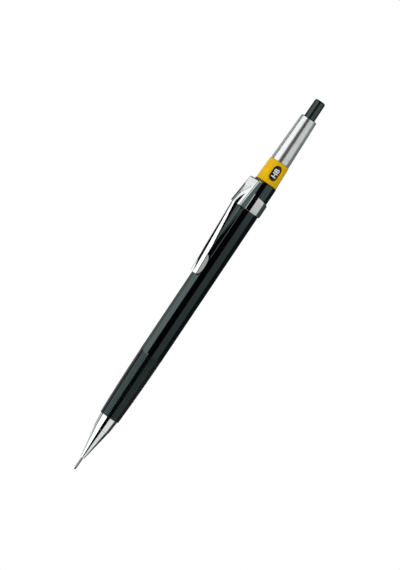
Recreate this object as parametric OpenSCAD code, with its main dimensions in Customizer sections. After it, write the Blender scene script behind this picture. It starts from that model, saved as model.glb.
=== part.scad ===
// Mechanical pencil for 0.5 mm leads, drafting pattern, with a push button and a lead-grade ring.
// Frame: +Z runs up the pencil's axis, the origin is the end of the guide pipe, and the clip faces -Y.
// All sizes are in millimetres.

/* [Guide pipe and lead] */
// Length of guide pipe that stands out of the cone
pipe_out = 3.7; // [3:0.1:4.5]
// Length of guide pipe pressed into the cone
pipe_in = 4.0; // [3:0.1:4]
// Outer diameter of the guide pipe
pipe_d = 0.80; // [0.76:0.01:0.9]
// Diameter of a lead sold as 0.5 mm
lead_d = 0.56; // [0.5:0.01:0.58]
// Length of lead left in the chuck
lead_len = 56; // [45:1:60]
// Length of lead that shows below the pipe
lead_out = 0.8; // [0:0.1:1]
// Number of spare leads in the lead tube
spare_count = 3; // [1:1:3]
// Length of a spare lead
spare_len = 60; // [50:1:62]

/* [Tip cone] */
// Diameter of the cone's nose
cone_nose_d = 1.40; // [1.3:0.02:1.6]
// Length of the slender lower cone
cone_low_len = 10.9; // [10.5:0.1:12]
// Diameter of the cone at the turned line
cone_mid_d = 5.24; // [5.2:0.02:5.5]
// Height of the small step at the turned line
cone_step = 0.07; // [0.03:0.01:0.15]
// Length of the stouter upper cone
cone_high_len = 4.7; // [4:0.1:6]
// Diameter of the cone where it meets the barrel
cone_top_d = 6.20; // [6:0.05:6.6]
// Diameter of the threaded spigot
spigot_d = 5.40; // [5:0.02:5.5]
// Length of the threaded spigot
spigot_len = 7.4; // [6:0.1:9]
// Length of the relief groove between the spigot's thread and the cone
relief_len = 0.8; // [0.5:0.1:1.2]

/* [Barrel] */
// Length of the ribbed grip
grip_len = 24; // [20:0.5:30]
// Diameter at the foot of the grip
grip_foot_d = 6.84; // [6.7:0.02:7.2]
// Diameter at the head of the grip
grip_head_d = 7.92; // [7.8:0.02:8.1]
// Number of ribs on the grip
rib_count = 41; // [30:1:48]
// Depth of the groove between two ribs
rib_depth = 0.14; // [0.08:0.01:0.2]
// Length of the faceted stretch
facet_len = 55.3; // [50:0.1:60]
// Diameter across the corners of the faceted stretch
facet_d = 8.04; // [8:0.02:8.3]
// Number of facets round the barrel
facet_count = 12; // [12:1:12]
// Length of the round seat that carries the clip
seat_len = 10.7; // [10.7:0.1:13]
// Diameter of the round seat
seat_d = 7.84; // [7.7:0.02:7.9]
// Bore of the barrel
barrel_bore = 4.6; // [4.5:0.05:5]
// Diameter of the rear neck under the ring
neck_d = 5.10; // [5:0.05:5.2]
// Bore of the rear neck
neck_bore = 3.8; // [3.6:0.05:4]
// Length of neck that goes into the top tube
neck_in = 7; // [5:0.5:8]

/* [Grade ring and top tube] */
// Length of the ring
ring_len = 7.9; // [7.9:0.1:9]
// Diameter at the foot of the ring
ring_foot_d = 7.60; // [7.4:0.05:7.8]
// Diameter at the head of the ring
ring_head_d = 7.00; // [6.8:0.05:7.2]
// Length of the window
window_len = 5.33; // [4.5:0.1:5.6]
// Width of the window
window_w = 3.13; // [2.5:0.1:3.4]
// Direction of the window round the axis, in degrees
window_turn = -29; // [-180:1:180]
// Wall of the grade sleeve under the ring
sleeve_wall = 0.40; // [0.3:0.02:0.42]
// Length of the top tube
tube_len = 17; // [15:0.5:20]
// Diameter at the foot of the top tube
tube_foot_d = 6.70; // [6.5:0.05:6.9]
// Diameter at the head of the top tube
tube_head_d = 5.72; // [5.6:0.05:6]

/* [Push button] */
// Length of the button that shows
button_out = 6.6; // [5:0.1:8]
// Diameter of the button at its skirt
button_foot_d = 3.90; // [3.8:0.02:4]
// Diameter of the button at its crown
button_head_d = 3.74; // [3.7:0.02:3.9]
// Length of the button's skirt inside the top tube
skirt_len = 6; // [5:0.1:6.2]
// Travel of the button
stroke = 3.5; // [2.5:0.1:3.6]
// Outer diameter of the lead tube
lead_tube_d = 3.00; // [2.9:0.02:3.1]
// Bore of the lead tube
lead_tube_bore = 2.40; // [2.3:0.02:2.5]

/* [Chuck] */
// Largest diameter of the chuck's head
chuck_head_d = 2.50; // [2.4:0.02:2.55]
// Diameter of the chuck's shank
chuck_shank_d = 1.80; // [1.6:0.02:1.84]
// Number of jaws
jaw_count = 3; // [2:1:3]
// Width of the slit between two jaws
slit_w = 0.22; // [0.15:0.01:0.3]
// Travel of the chuck while it still holds the lead
feed = 0.6; // [0.4:0.05:0.8]
// Wire of the return spring
wire_d = 0.32; // [0.25:0.01:0.36]
// Mean diameter of the return spring
coil_d = 2.70; // [2.6:0.01:2.75]
// Turns of the return spring
coil_turns = 10; // [7:1:12]

/* [Clip] */
// Thickness of the clip's sheet
sheet = 0.45; // [0.35:0.01:0.5]
// Width of the clip's head
head_w = 4.84; // [4.5:0.02:5.2]
// Height of the clip's head above the foot of its band
head_len = 10; // [9.5:0.1:10.5]
// Distance from the axis to the top of the head's face
head_top_y = 5.40; // [5.3:0.05:5.8]
// Distance from the axis to the foot of the head's face
head_foot_y = 7.05; // [6.6:0.05:7.4]
// Width of the arm
arm_w = 2.70; // [2.4:0.05:3]
// Height of the arm's ridge where it leaves the head
arm_crown = 0.92; // [0.6:0.02:1]
// Distance from the axis to the arm's face at its free end
arm_end_y = 5.22; // [5.1:0.02:5.5]
// Length of the arm below the band
arm_len = 25.8; // [22:0.2:30]
// Length of the foot's side flanges
flange_len = 7.2; // [6:0.1:8]
// Depth of the foot's side flanges
flange_depth = 1.7; // [1.4:0.05:1.75]

/* [Hidden] */
// Running clearance between pieces that slide or turn on each other
slip = 0.05;
// Clearance of a lead in its guides
lead_slip = 0.02;

// Heights of the outside, from the pipe's end upwards
cone_z = pipe_out;
line_z = cone_z + cone_low_len;
nose_z = line_z + cone_high_len;
facet_z = nose_z + grip_len;
seat_z = facet_z + facet_len;
ring_z = seat_z + seat_len;
tube_z = ring_z + ring_len;
mouth_z = tube_z + tube_len;
crown_z = mouth_z + button_out;

// Inside of the tip cone
pipe_seat_z = cone_z + pipe_in;
pipe_wall = (pipe_d - lead_d - 2 * 0.03) / 2;
retainer_len = 2.2;
retainer_d = 2.0;
retainer_z = pipe_seat_z;
jaw_room_z = retainer_z + retainer_len;
jaw_room_d = chuck_head_d + 0.3;
stop_z = line_z - 0.3;
housing_d = 4.20;
spigot_end_z = nose_z + spigot_len;
relief_d = spigot_d - 0.44;
relief_bevel = 0.2;

// Chuck, clutch ring and their housing
housing_z = stop_z + 0.2;
flange_t = 1.0;
flange_z = spigot_end_z + slip;
step_z = flange_z + flange_t;
housing_top_z = step_z + 3.3;
clutch_z = stop_z + slip + feed;
clutch_len = 1.9;
clutch_d = 3.2;
clutch_bore = chuck_head_d - 0.1;
shoulder_z = clutch_z + clutch_len + slip;
shoulder_t = 1.0;
spring_z = shoulder_z + shoulder_t;
throat_d = chuck_shank_d + 0.36;
spring_bore = coil_d + wire_d + 0.48;
chuck_z = jaw_room_z + stroke + 0.2;
chuck_rim = 0.5;
chuck_bevel = 0.25;
chuck_step = 0.1;
chuck_taper_z = shoulder_z + 0.1;
slit_top_z = spring_z + 7;
joint_z = housing_top_z - 2.4;
joint_len = 4;
joint_socket = 3;
joint_d = spring_bore - 4 * slip;
joint_spigot_len = 4;

// Lead tube, button and eraser
lead_tube_z = joint_z + joint_len;
lead_tube_top_z = mouth_z + 0.4;
funnel_z = lead_tube_z + joint_spigot_len;
skirt_z = mouth_z - skirt_len;
roof_t = 1.2;
chamber_d = button_foot_d + 0.5;
neck_top_z = tube_z + neck_in;
eraser_d = lead_tube_bore - 2 * slip;
eraser_len = 6.5;
ferrule_len = 4;
ferrule_cup = 2.5;
ferrule_bore = eraser_d - 0.36;
eraser_top_z = lead_tube_top_z + 2.8;
ferrule_top_z = eraser_top_z - eraser_len;
ferrule_z = ferrule_top_z - ferrule_len;
needle_d = 0.4;
needle_len = 14;

// Grade ring
ring_play = 0.05;
sleeve_d = neck_d + 2 * sleeve_wall;
ring_bore = sleeve_d + 2 * slip;
window_z = ring_z + ring_len * 0.525;

// Clip
band_bore = seat_d + 2 * slip;
band_d = band_bore + 2 * sheet;
band_z = seat_z + 0.1;
band_low_y = 4.9;
band_slant = 7.6;
head_z = band_z + head_len;
fold_r = sheet + 0.02;
fold_cuts = 6;
wall_y = sqrt(band_d * band_d - head_w * head_w) / 2 - 0.1;
face_slope = (head_foot_y - head_top_y) / head_len;
arm_steps = 26;
arm_cuts = 10;
arm_root_z = band_z + 0.5 * head_len;
arm_end_z = band_z - arm_len;
foot_z = arm_end_z + flange_len;
sink = 0.03;
splay = 32;

facet_turn = -7;
smooth = 96;

// ---- shapes that repeat ----

// A rod or disc of diameter d from height z0 to z1.
module rod(d, z0, z1) {
    translate([0, 0, z0]) cylinder(d = d, h = z1 - z0, $fn = smooth);
}

// A cone from diameter d0 at height z0 to d1 at z1.
module taper(d0, d1, z0, z1) {
    translate([0, 0, z0]) cylinder(d1 = d0, d2 = d1, h = z1 - z0, $fn = smooth);
}

// A round solid turned from an outline of [radius, height] points, from its foot's edge to its head's.
module turned(outline) {
    foot = outline[0];
    head = outline[len(outline) - 1];
    rotate_extrude($fn = smooth)
        polygon(concat([[0, foot[1]]], outline, [[0, head[1]]]));
}

// A round solid with a rounded top corner, from diameter d0 at height z0 to d1 at z1.
// Below z0 it goes on straight for the length of its skirt.
module rounded_taper(d0, d1, z0, z1, corner, skirt = 0) {
    arc = [for (a = [0 : 15 : 90])
        [d1 / 2 - corner + corner * cos(a), z1 - corner + corner * sin(a)]];
    foot = skirt > 0 ? [[d0 / 2, z0 - skirt], [d0 / 2, z0]] : [[d0 / 2, z0]];
    turned(concat(foot, arc));
}

// ---- barrel ----

// Radius of the grip at height z: slender at the foot, nearly straight at the head.
function grip_r(z) = grip_head_d / 2
    - (grip_head_d - grip_foot_d) / 2 * pow(max(0, facet_z - z) / grip_len, 1.8);

rib_pitch = grip_len / rib_count;
rib_land = 0.55 * rib_pitch;

// Outline of the ribbed grip: each rib is a land followed by a groove.
rib_points = [for (i = [0 : rib_count - 1])
    let (z = nose_z + i * rib_pitch)
    each [
        [grip_r(z), z],
        [grip_r(z + rib_land), z + rib_land],
        [grip_r(z + rib_land) - rib_depth, z + rib_land + 0.08],
        [grip_r(z + rib_pitch) - rib_depth, z + rib_pitch - 0.08]
    ]];

module grip_solid() {
    turned(concat(rib_points, [[grip_r(facet_z), facet_z]]));
}

module barrel() {
    color([0.05, 0.06, 0.06]) difference() {
        union() {
            rod(barrel_bore + 1.6, nose_z + 1, ring_z - 1);
            grip_solid();
            rotate([0, 0, facet_turn]) translate([0, 0, facet_z])
                cylinder(d = facet_d, h = facet_len, $fn = facet_count);
            rod(seat_d, seat_z, ring_z);
            rod(neck_d, ring_z, neck_top_z);
        }
        rod(spigot_d + 2 * lead_slip, nose_z - 1, step_z);
        rod(barrel_bore, step_z - 1, ring_z - 5);
        rod(neck_bore, ring_z - 6, neck_top_z + 1);
    }
}

// ---- tip ----

module tip_cone() {
    color([0.78, 0.79, 0.80]) difference() {
        turned([
            [cone_nose_d / 2, cone_z], [cone_mid_d / 2, line_z],
            [cone_mid_d / 2 + cone_step, line_z], [cone_top_d / 2, nose_z],
            [relief_d / 2, nose_z], [relief_d / 2, nose_z + relief_len - relief_bevel],
            [spigot_d / 2, nose_z + relief_len], [spigot_d / 2, spigot_end_z]
        ]);
        rod(pipe_d, cone_z - 1, pipe_seat_z + 0.01);
        rod(retainer_d, retainer_z, jaw_room_z + 0.01);
        rod(jaw_room_d, jaw_room_z, stop_z + 0.01);
        rod(housing_d + 2 * slip, stop_z, spigot_end_z + 1);
    }
}

module guide_pipe() {
    color([0.70, 0.71, 0.72]) difference() {
        rod(pipe_d, 0, pipe_seat_z);
        rod(pipe_d - 2 * pipe_wall, -1, pipe_seat_z + 1);
    }
}

module lead_retainer() {
    color([0.15, 0.15, 0.16]) difference() {
        rod(retainer_d, retainer_z, jaw_room_z);
        rod(lead_d + 2 * lead_slip, retainer_z - 1, jaw_room_z + 1);
        taper(lead_d + 0.1, retainer_d - 0.7, jaw_room_z - 0.8, jaw_room_z + 0.01);
    }
}

// ---- chuck and clutch ----

// Head that widens towards its nose, on a slender shank, slit into jaws.
module chuck() {
    color([0.80, 0.66, 0.35]) difference() {
        turned([
            [chuck_head_d / 2 - chuck_bevel, chuck_z], [chuck_head_d / 2, chuck_z + chuck_rim],
            [chuck_shank_d / 2 + chuck_step, chuck_taper_z],
            [chuck_shank_d / 2, chuck_taper_z], [chuck_shank_d / 2, joint_z + joint_socket]
        ]);
        rod(lead_d + 2 * lead_slip, chuck_z - 1, chuck_taper_z);
        rod(lead_d + 0.44, chuck_taper_z - 0.5, joint_z + joint_socket + 1);
        for (i = [0 : jaw_count - 1])
            rotate([0, 0, i * 360 / jaw_count])
                translate([0, -slit_w / 2, chuck_z - 1])
                    cube([chuck_head_d, slit_w, slit_top_z - chuck_z + 1]);
    }
}

module clutch_ring() {
    color([0.83, 0.70, 0.40]) difference() {
        rod(clutch_d, clutch_z, clutch_z + clutch_len);
        rod(clutch_bore, clutch_z - 1, clutch_z + clutch_len + 1);
    }
}

module chuck_housing() {
    color([0.76, 0.62, 0.32]) difference() {
        union() {
            rod(housing_d, housing_z, housing_top_z);
            rod(spigot_d - 0.08, flange_z, step_z);
        }
        rod(clutch_d + 2 * slip, housing_z - 1, shoulder_z);
        rod(throat_d, shoulder_z - 0.5, spring_z + 0.5);
        rod(spring_bore, spring_z, housing_top_z + 1);
    }
}

// Ring k of the spring's wire, as a polygon across the wire at an angle along the coil.
coil_sides = 6;
coil_steps = 16;
coil_rings = coil_turns * coil_steps;
coil_low_z = spring_z + wire_d / 2 + 0.02;
coil_high_z = joint_z - wire_d / 2 - 0.02;

// Share of the height reached at share s of the wire: the end turns lie flat.
function coil_rise(s) = let (e = 1 / coil_turns)
    s < e ? 0.3 * s : s > 1 - e ? 1 - 0.3 * (1 - s)
    : 0.3 * e + (s - e) * (1 - 0.6 * e) / (1 - 2 * e);

function coil_point(k, i) = let (
        s = k / coil_rings,
        a = 360 * coil_turns * s,
        b = 360 * i / coil_sides,
        r = coil_d / 2 + wire_d / 2 * cos(b))
    [r * cos(a), r * sin(a),
     coil_low_z + (coil_high_z - coil_low_z) * coil_rise(s) + wire_d / 2 * sin(b)];

module chuck_spring() {
    points = [for (k = [0 : coil_rings], i = [0 : coil_sides - 1]) coil_point(k, i)];
    sides = [for (k = [0 : coil_rings - 1], i = [0 : coil_sides - 1])
        let (j = (i + 1) % coil_sides, a = k * coil_sides)
        [a + i, a + coil_sides + i, a + coil_sides + j, a + j]];
    first = [for (i = [0 : coil_sides - 1]) i];
    last = [for (i = [coil_sides - 1 : -1 : 0]) coil_rings * coil_sides + i];
    color([0.72, 0.73, 0.75]) polyhedron(points, concat([first], sides, [last]));
}

// Brass joint between the chuck's shank and the lead tube, with a funnel for the next lead.
module tube_joint() {
    color([0.80, 0.66, 0.35]) difference() {
        union() {
            rod(joint_d, joint_z, lead_tube_z);
            rod(lead_tube_bore, joint_z, funnel_z);
        }
        rod(chuck_shank_d, joint_z - 1, joint_z + joint_socket);
        rod(lead_d + 0.34, joint_z, funnel_z);
        taper(lead_d + 0.34, lead_tube_bore - 0.4, funnel_z - 2.5, funnel_z + 0.01);
    }
}

module lead_tube() {
    color([0.85, 0.86, 0.84]) difference() {
        rod(lead_tube_d, lead_tube_z, lead_tube_top_z);
        rod(lead_tube_bore, lead_tube_z - 1, lead_tube_top_z + 1);
    }
}

module lead() {
    color([0.20, 0.20, 0.22]) rod(lead_d, -lead_out, lead_len - lead_out);
}

module spare_leads() {
    ring_r = (lead_tube_bore / 2 + lead_d / 2) / 2;
    color([0.22, 0.22, 0.24]) for (i = [0 : spare_count - 1])
        rotate([0, 0, i * 360 / spare_count]) translate([ring_r, 0, 0])
            rod(lead_d, funnel_z + 0.1, funnel_z + 0.1 + spare_len);
}

// ---- button, eraser and needle ----

module push_button() {
    color([0.05, 0.06, 0.06]) difference() {
        rounded_taper(button_foot_d, button_head_d, mouth_z, crown_z, 0.5, skirt_len);
        rod(lead_tube_d + 2 * lead_slip, skirt_z - 1, crown_z - roof_t);
    }
}

module eraser() {
    color([0.94, 0.94, 0.92]) union() {
        rod(ferrule_bore, ferrule_top_z - ferrule_cup, ferrule_top_z + 1);
        rounded_taper(eraser_d, eraser_d, ferrule_top_z, eraser_top_z, 0.3);
    }
}

module eraser_ferrule() {
    color([0.75, 0.76, 0.78]) difference() {
        rod(eraser_d, ferrule_z, ferrule_top_z);
        rod(ferrule_bore, ferrule_top_z - ferrule_cup, ferrule_top_z + 1);
        rod(needle_d, ferrule_z - 1, ferrule_top_z - ferrule_cup - 0.3);
    }
}

module cleaning_needle() {
    color([0.70, 0.72, 0.74])
        rod(needle_d, ferrule_z - needle_len, ferrule_top_z - ferrule_cup - 0.3);
}

// ---- grade ring and top tube ----

module grade_sleeve() {
    color([0.06, 0.06, 0.06]) difference() {
        rod(sleeve_d, ring_z, tube_z);
        rod(neck_d, ring_z - 1, tube_z + 1);
    }
}

// A stadium prism across the ring's wall, its long way along the axis.
module window_cut(length, width, y0, depth) {
    reach = (length - width) / 2;
    translate([0, 0, window_z]) rotate([0, 0, window_turn + 90]) rotate([90, 0, 0])
        translate([0, 0, y0]) linear_extrude(depth) union() {
            translate([0, reach]) circle(d = width, $fn = smooth);
            translate([0, -reach]) circle(d = width, $fn = smooth);
            square([width, 2 * reach], center = true);
        }
}

module window_ring() {
    color([0.93, 0.74, 0.05]) difference() {
        taper(ring_foot_d, ring_head_d, ring_z + ring_play, tube_z - ring_play);
        rod(ring_bore, ring_z - 1, tube_z + 1);
        window_cut(window_len, window_w, 0, ring_foot_d);
    }
}

module top_tube() {
    color([0.80, 0.81, 0.82]) difference() {
        rounded_taper(tube_foot_d, tube_head_d, tube_z, mouth_z, 0.5);
        rod(neck_d, tube_z - 1, neck_top_z + 0.2);
        rod(chamber_d, neck_top_z, mouth_z - 1);
        rod(button_foot_d + 0.17, mouth_z - 2, mouth_z + 1);
    }
}

// ---- clip ----

// Distance from the axis to the head's face at height z.
function face_y(z) = head_top_y + (head_z - z) * face_slope;

// Distance from the axis to the arm's edge: along the face, then straight down to the foot.
function arm_y(z) = z > band_z ? face_y(z)
    : arm_end_y + (head_foot_y - arm_end_y) * (z - arm_end_z) / arm_len;

// Height of the ridge: it rises out of the face, then fades towards the foot.
function ridge(z) = z > band_z
    ? arm_crown * (1 - cos(180 * min(1, (arm_root_z - z) / (0.35 * head_len)))) / 2
    : arm_crown * pow(max(0, (z - arm_end_z) / arm_len), 1.6);

// Shape of the ridge across the arm, for u from -1 to 1, with flat edges near the head.
function ridge_form(u, z) = z > band_z ? (1 + cos(180 * u)) / 2 : 1 - u * u;

module band() {
    difference() {
        rod(band_d, band_z, head_z);
        rod(band_bore, band_z - 1, head_z + 1);
        translate([0, 0, band_z + band_low_y]) rotate([-band_slant, 0, 0])
            translate([-band_d, -band_d, 0]) cube([2 * band_d, 2 * band_d, 2 * head_len]);
    }
}

// A strip of bent sheet through rows of points from its head down. Each row has its outer side's points
// from left to right, then its inner side's from right to left; cuts is the number of spans on a side.
module bent_sheet(points, rows, cuts) {
    loop = 2 * (cuts + 1);
    sides = [for (k = [0 : rows - 1], i = [0 : loop - 1])
        let (j = (i + 1) % loop, a = k * loop)
        [a + i, a + j, a + loop + j, a + loop + i]];
    ends = [for (i = [0 : cuts - 1])
        let (back = loop - 1 - i, b = rows * loop)
        each [[i, back, back - 1, i + 1], [b + i, b + i + 1, b + back - 1, b + back]]];
    polyhedron(points, concat(sides, ends), convexity = 4);
}

// Point i across the head at height z and depth t in the sheet: wall, rounded fold, face, fold, wall.
function head_point(i, t, z) = let (
        side = i <= fold_cuts + 1 ? -1 : 1,
        k = side < 0 ? i : 2 * fold_cuts + 3 - i,
        a = 90 * (k - 1) / fold_cuts,
        r = fold_r - t,
        x = head_w / 2 - fold_r,
        y = face_y(z) - fold_r)
    k == 0 ? [side * (x + r), -wall_y, z] : [side * (x + r * cos(a)), -(y + r * sin(a)), z];

// The head is a channel: the face, folded back into a wall at each side.
module head_channel() {
    cuts = 2 * fold_cuts + 3;
    bent_sheet([for (z = [head_z, band_z], layer = [0, 1], i = [0 : cuts])
        head_point(layer == 0 ? i : cuts - i, layer * sheet, z)], 1, cuts);
}

// The arm is a strip with its ridge along the middle, which starts inside the head's face.
module arm() {
    bent_sheet([for (k = [0 : arm_steps], layer = [0, 1], i = [0 : arm_cuts])
        let (
            z = arm_root_z + (arm_end_z - arm_root_z) * k / arm_steps,
            u = (layer == 0 ? i : arm_cuts - i) * 2 / arm_cuts - 1,
            out = arm_y(z) + ridge(z) * ridge_form(u, z) - (z > band_z ? sink : 0))
        [u * arm_w / 2, -out + layer * (z > band_z ? sheet - 2 * sink : sheet), z]],
        arm_steps, arm_cuts);
}

// Rounded flange that folds back from the arm's edge onto the barrel; side is -1 or 1.
module foot_flange(side) {
    lobe = [for (s = [0 : 0.05 : 1])
        [arm_end_z + s * flange_len, flange_depth * pow(1 - pow(abs(2 * s - 1), 2.6), 0.55)]];
    lean = atan((arm_y(foot_z) - arm_y(arm_end_z)) / flange_len);
    translate([side * (arm_w - sheet) / 2, -arm_y(arm_end_z) + sheet / 2, arm_end_z])
        rotate([lean, 0, 0]) rotate([0, 0, -side * splay])
            translate([-sheet / 2, 0, -arm_end_z]) rotate([90, 0, 90]) linear_extrude(sheet)
                polygon([for (p = lobe) [p[1], p[0]]]);
}

module clip() {
    color([0.82, 0.84, 0.85]) union() {
        band();
        head_channel();
        arm();
        for (side = [-1, 1]) foot_flange(side);
    }
}

barrel();
tip_cone();
guide_pipe();
lead_retainer();
chuck();
clutch_ring();
chuck_housing();
chuck_spring();
tube_joint();
lead_tube();
lead();
spare_leads();
push_button();
eraser();
eraser_ferrule();
cleaning_needle();
grade_sleeve();
window_ring();
top_tube();
clip();
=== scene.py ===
"""Finished pieces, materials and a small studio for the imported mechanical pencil.

Every piece is modelled on the bench in millimetres, in the row frame: +Z runs up the pencil's axis,
the origin is the end of the guide pipe and the clip faces -Y. It is delivered in metres with its
place in its mesh, takes the finish of its material slot and rides on the body of the CAD node that
it stands for.
"""

import logging
import math
from collections.abc import Callable, Iterator, Mapping, Sequence
from contextlib import contextmanager
from dataclasses import dataclass
from enum import Enum, IntEnum
from itertools import pairwise

import bmesh
import bpy
from mathutils import Matrix, Vector

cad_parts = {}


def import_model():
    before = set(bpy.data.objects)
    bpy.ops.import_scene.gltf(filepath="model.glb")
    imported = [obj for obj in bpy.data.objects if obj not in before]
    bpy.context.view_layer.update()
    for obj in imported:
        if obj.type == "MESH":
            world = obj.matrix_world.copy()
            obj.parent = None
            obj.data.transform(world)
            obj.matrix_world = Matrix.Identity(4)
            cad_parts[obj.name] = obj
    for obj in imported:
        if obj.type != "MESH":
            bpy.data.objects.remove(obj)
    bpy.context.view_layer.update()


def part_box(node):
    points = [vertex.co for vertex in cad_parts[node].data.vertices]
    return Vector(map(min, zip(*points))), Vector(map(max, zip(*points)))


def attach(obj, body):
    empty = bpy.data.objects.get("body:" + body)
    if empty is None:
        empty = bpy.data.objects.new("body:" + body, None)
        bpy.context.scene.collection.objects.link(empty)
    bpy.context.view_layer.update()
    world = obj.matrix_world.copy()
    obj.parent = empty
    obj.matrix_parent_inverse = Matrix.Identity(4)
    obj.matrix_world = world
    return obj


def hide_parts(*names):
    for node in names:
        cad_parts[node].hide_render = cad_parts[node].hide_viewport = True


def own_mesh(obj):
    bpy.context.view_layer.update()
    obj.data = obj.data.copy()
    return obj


LOG = logging.getLogger("pencil")

MM = 0.001  # metres in a millimetre
MERGE = 1e-3  # millimetres within which two vertices are one
ROUND = 96  # steps of a turned piece that shows
SMALL_ROUND = 72  # steps of a turned piece that is hidden
ARC_REACH = 0.49  # largest share of a side that a fillet takes
PAST = 1.0  # millimetres that a cutting tool reaches past what it cuts
UPRIGHT = 0.5  # most that an upright face's normal rises
DARK = 0.2  # radiance up to which a card is a flag, which lights nothing

Point = tuple[float, float]
Colour = tuple[float, float, float]
Direction = tuple[float, float, float]


class Edge(float, Enum):
    """How far a turned or moulded edge is rounded, in millimetres."""

    KEEN = 0.03
    FINE = 0.05
    EASED = 0.08
    SOFT = 0.10
    FULL = 0.12
    BROAD = 0.15


# -------------------------------------------------------------------------------------------------
# Bench tools
# -------------------------------------------------------------------------------------------------


def only(piece: bpy.types.Object) -> None:
    """Makes a piece the one selected and active object.

    Args:
        piece: The piece.
    """
    bpy.ops.object.select_all(action="DESELECT")
    piece.select_set(True)
    bpy.context.view_layer.objects.active = piece


@contextmanager
def editing(piece: bpy.types.Object, mode: str = "VERT") -> Iterator[bmesh.types.BMesh]:
    """Opens a piece in edit mode with nothing selected, and closes it again.

    Args:
        piece: The mesh object to edit.
        mode: What a selection is made of, VERT, EDGE or FACE.

    Returns:
        The piece's edit mesh.
    """
    only(piece)
    bpy.ops.object.mode_set(mode="EDIT")
    bpy.ops.mesh.select_mode(type=mode)
    bpy.ops.mesh.select_all(action="DESELECT")
    yield bmesh.from_edit_mesh(piece.data)
    bpy.ops.object.mode_set(mode="OBJECT")


def pick(elements: Sequence, rule: Callable[..., bool]) -> None:
    """Selects the vertices, edges or faces that meet a rule.

    Args:
        elements: The edit mesh's verts, edges or faces.
        rule: Tells whether an element is wanted.
    """
    wanted = [element for element in elements if rule(element)]
    for element in wanted:
        element.select_set(True)


def start_from(add: Callable[..., object], name: str, **options: object) -> bpy.types.Object:
    """Adds a primitive, names it and moves its place and turn into its mesh.

    Args:
        add: The operator that adds the primitive.
        name: Name of the new piece.
        options: Size, place and turn for the operator.

    Returns:
        The new piece, selected and active.
    """
    bpy.ops.object.select_all(action="DESELECT")
    add(**options)
    piece = bpy.context.object
    piece.name = name
    bpy.ops.object.transform_apply(location=True, rotation=True, scale=True)
    return piece


def rounded(outline: Sequence[Sequence[float]], closed: bool, steps: int = 4) -> list[Point]:
    """Rounds the corners of an outline by arcs that are tangent to both of their sides.

    Args:
        outline: Corners as (radius, height) or (radius, height, fillet).
        closed: Whether the last corner joins the first.
        steps: Segments in each arc.

    Returns:
        The outline's points as (radius, height).
    """
    points: list[Point] = []
    count = len(outline)
    for index, corner in enumerate(outline):
        fillet = corner[2] if len(corner) > 2 else 0.0
        here = Vector(corner[:2])
        if fillet <= 0 or not (closed or 0 < index < count - 1):
            points.append(tuple(here))
            continue
        before = Vector(outline[index - 1][:2]) - here
        after = Vector(outline[(index + 1) % count][:2]) - here
        half = before.angle(after) / 2
        longest = ARC_REACH * min(before.length, after.length)
        reach = min(fillet / math.tan(half), longest)
        middle = (before.normalized() + after.normalized()).normalized()
        centre = here + middle * (reach / math.cos(half))
        arm = here + before.normalized() * reach - centre
        sweep = (math.pi - 2 * half) * (1 if before.cross(after) < 0 else -1)
        for step in range(steps + 1):
            turn = Matrix.Rotation(sweep * step / steps, 2)
            points.append(tuple(centre + turn @ arm))
    return points


def turned(
    name: str,
    outline: Sequence[Sequence[float]],
    hollow: bool = False,
    steps: int = ROUND,
    sweep: float = 360,
) -> bpy.types.Object:
    """Turns an outline round the axis, as on a lathe.

    Args:
        name: Name of the new piece.
        outline: Corners as (radius, height) or (radius, height, fillet).
        hollow: Whether the outline is a loop clear of the axis.
        steps: Segments round the axis.
        sweep: Degrees of the turn.

    Returns:
        The turned piece.
    """
    points = rounded(outline, closed=hollow)
    if hollow:
        points.append(points[0])
    piece = start_from(bpy.ops.mesh.primitive_plane_add, name, size=1)
    with editing(piece):
        bpy.ops.mesh.select_all(action="SELECT")
        bpy.ops.mesh.merge(type="CENTER")
        bpy.ops.transform.translate(value=(points[0][0], 0, points[0][1]))
        for here, there in pairwise(points):
            step = (there[0] - here[0], 0, there[1] - here[1])
            bpy.ops.mesh.extrude_vertices_move(TRANSFORM_OT_translate={"value": step})
        bpy.ops.mesh.select_all(action="SELECT")
        bpy.ops.mesh.remove_doubles(threshold=MERGE)
        bpy.ops.mesh.spin(steps=steps, angle=-math.radians(sweep), center=(0, 0, 0), axis=(0, 0, 1))
    settle(piece)
    return piece


def settle(piece: bpy.types.Object) -> None:
    """Merges a piece's doubles and turns its faces outwards.

    Args:
        piece: The piece to clean.
    """
    with editing(piece):
        bpy.ops.mesh.select_all(action="SELECT")
        bpy.ops.mesh.remove_doubles(threshold=MERGE)
        bpy.ops.mesh.dissolve_degenerate(threshold=MERGE / 10)
        bpy.ops.mesh.select_all(action="SELECT")
        bpy.ops.mesh.normals_make_consistent(inside=False)


def apply(piece: bpy.types.Object, kind: str, **settings: object) -> None:
    """Puts a modifier on a piece and applies it.

    Args:
        piece: The piece to change.
        kind: The modifier's type.
        settings: The modifier's properties.
    """
    only(piece)
    modifier = piece.modifiers.new(kind.lower(), kind)
    for key, value in settings.items():
        setattr(modifier, key, value)
    bpy.ops.object.modifier_apply(modifier=modifier.name)


def carve(piece: bpy.types.Object, tool: bpy.types.Object, operation: str = "DIFFERENCE") -> None:
    """Cuts a piece with a tool piece or keeps what they share, and throws the tool away."""
    apply(piece, "BOOLEAN", operation=operation, solver="EXACT", object=tool)
    bpy.data.objects.remove(tool)


def join(name: str, parts: Sequence[bpy.types.Object]) -> bpy.types.Object:
    """Joins parts into one mesh, keeping each as its own shell.

    Args:
        name: Name of the joined piece.
        parts: The parts, of which the first takes in the others.

    Returns:
        The joined piece.
    """
    only(parts[0])
    for part in parts[1:]:
        part.select_set(True)
    bpy.ops.object.join()
    parts[0].name = name
    return parts[0]


def spun(piece: bpy.types.Object, degrees: float) -> bpy.types.Object:
    """Turns a piece about the pencil's axis, in its mesh."""
    piece.data.transform(Matrix.Rotation(math.radians(degrees), 4, "Z"))
    return piece


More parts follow.
